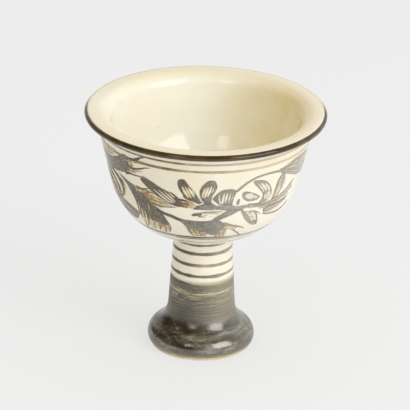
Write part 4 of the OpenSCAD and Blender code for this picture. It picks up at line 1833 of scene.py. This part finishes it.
@dataclass(frozen=True)
class PaperSweep(Finish):
    """Matt white paper under the cup, lit through from below so that its shadows stay faint."""

    name: str = "white_paper"
    roughness: float = 0.9
    specular: float = 0.0
    swell_mm: Span = (60.0, 0.02)
    white: str = "#f0f0f0"
    shade: str = "#ebebea"
    unlit: str = "#000000"
    glow: str = "#eeeeed"
    cloud_mm: float = 400.0
    through: float = 0.72

    def dress(self, tree: Tree) -> Looks:
        """Faint clouds in the white, and the light that comes through where the paper is seen.

        Args:
            tree: node tree of the material.

        Returns:
            The shader's inputs.
        """
        place, bump = self.waves(tree)
        cloud = add_node(tree, "TexNoise", (place, fineness(self.cloud_mm), 2.0))
        share = add_node(tree, "MapRange", (seen_rays(tree), 0.0, 1.0, 0.0, self.through))
        layers = ((cloud, self.shade), (share, self.unlit))
        return {
            "Base Color": layered(tree, linear(self.white), layers),
            "Specular IOR Level": self.specular,
            "Emission Color": linear(self.glow),
            "Emission Strength": share,
            "Normal": bump,
        }


@dataclass(frozen=True)
class SoftBox:
    """A soft lamp aimed at the cup, by its angles from the viewer's side (deg, m, W)."""

    name: str
    azimuth: float
    elevation: float
    distance: float
    width: float
    height: float
    power: float

    def build(self, target: Vector) -> None:
        """Hangs the lamp and aims it.

        Args:
            target: point that it is aimed at (m).
        """
        data = bpy.data.lights.new(self.name, "AREA")
        data.shape = "RECTANGLE"
        data.size = self.width
        data.size_y = self.height
        data.energy = self.power
        lamp = in_scene(self.name, data)
        turn, rise = math.radians(self.azimuth), math.radians(self.elevation)
        level = math.cos(rise)
        way = Vector((math.sin(turn) * level, -math.cos(turn) * level, math.sin(rise)))
        lamp.location = target + way * self.distance
        lamp.rotation_euler = way.to_track_quat("Z", "Y").to_euler()


@dataclass
class Studio:
    """White paper, soft lamps and the camera at the photograph's view."""

    lamps: tuple[SoftBox, ...] = (
        SoftBox("key_softbox", 50.0, 27.0, 1.3, 0.9, 0.95, 8.9),
        SoftBox("side_softbox", -27.0, 32.0, 1.5, 0.36, 0.5, 1.35),
    )
    paper: Finish = field(default_factory=PaperSweep)
    room: str = "#fdfdff"
    side_level: float = 0.54
    top_level: float = 1.25
    wall_level: float = 0.85
    front_level: float = 0.06
    wall_way: Triple = (0.5, 0.866, 0.0)
    # How far from level the ceiling starts, and from the side the wall does (cosines)
    top_at: Span = (-0.5, -1.0)
    wall_at: Span = (-0.1, -0.7)
    floor_half_m: float = 3.0
    floor_cells: int = 8
    target: Triple = (0.0, 0.0, 0.06)
    camera_at: Triple = (0.0, -1.51943, 0.73597)
    pitch: float = 0.4146008
    yaw: float = 0.000387
    roll: float = math.radians(1.35)
    sensor_mm: float = 36.0
    lens_mm: float = 321.56

    def build(self) -> None:
        """Sets up the paper, the light and the camera."""
        self.floor()
        for lamp in self.lamps:
            lamp.build(Vector(self.target))
        self.world()
        self.camera()

    def floor(self) -> None:
        """Lays the paper under the foot."""
        mesh = bmesh.new()
        cells = self.floor_cells
        bmesh.ops.create_grid(mesh, x_segments=cells, y_segments=cells, size=self.floor_half_m)
        floor = covered("floor", mesh, self.paper)

    def world(self) -> None:
        """Fills the room with soft white light, in which glaze mirrors a white wall and a dark room."""
        world = bpy.data.worlds.new("room")
        world.use_nodes = True
        tree = world.node_tree
        add = partial(add_node, tree)
        ground = tree.nodes["Background"]
        ground.inputs["Color"].default_value = linear(self.room)
        way = add("NewGeometry").outputs["Incoming"]
        rise = add("SeparateXYZ", (way,)).outputs["Z"]
        glow = add("MapRange", (rise, *self.top_at, self.side_level, self.top_level))
        facing = add("VectorMath", (way, self.wall_way), operation="DOT_PRODUCT")
        wall = add("MapRange", (facing, *self.wall_at, self.front_level, self.wall_level))
        change = add("Math", (wall, glow), operation="SUBTRACT")
        level = add("Math", (change, seen_rays(tree), glow), operation="MULTIPLY_ADD")
        tree.links.new(level.outputs[0], ground.inputs["Strength"])
        bpy.context.scene.world = world

    def camera(self) -> None:
        """Sets the camera where the photograph was taken from."""
        data = bpy.data.cameras.new("camera")
        data.sensor_width = self.sensor_mm
        data.lens = self.lens_mm
        camera = in_scene("camera", data)
        camera.matrix_world = (
            Matrix.Translation(self.camera_at)
            @ Matrix.Rotation(-self.yaw, 4, "Z")
            @ Matrix.Rotation(math.pi / 2 - self.pitch, 4, "X")
            @ Matrix.Rotation(self.roll, 4, "Z")
        )
        bpy.context.scene.camera = camera


def main() -> None:
    """Builds the cup's pieces and the studio."""
    logging.basicConfig(level=logging.INFO)
    bpy.context.scene.view_settings.view_transform = "Standard"
    ClayBody().build()
    Bowl().build()
    StemFoot().build()
    Painting().build()
    Studio().build()


if __name__ == "__main__":
    main()
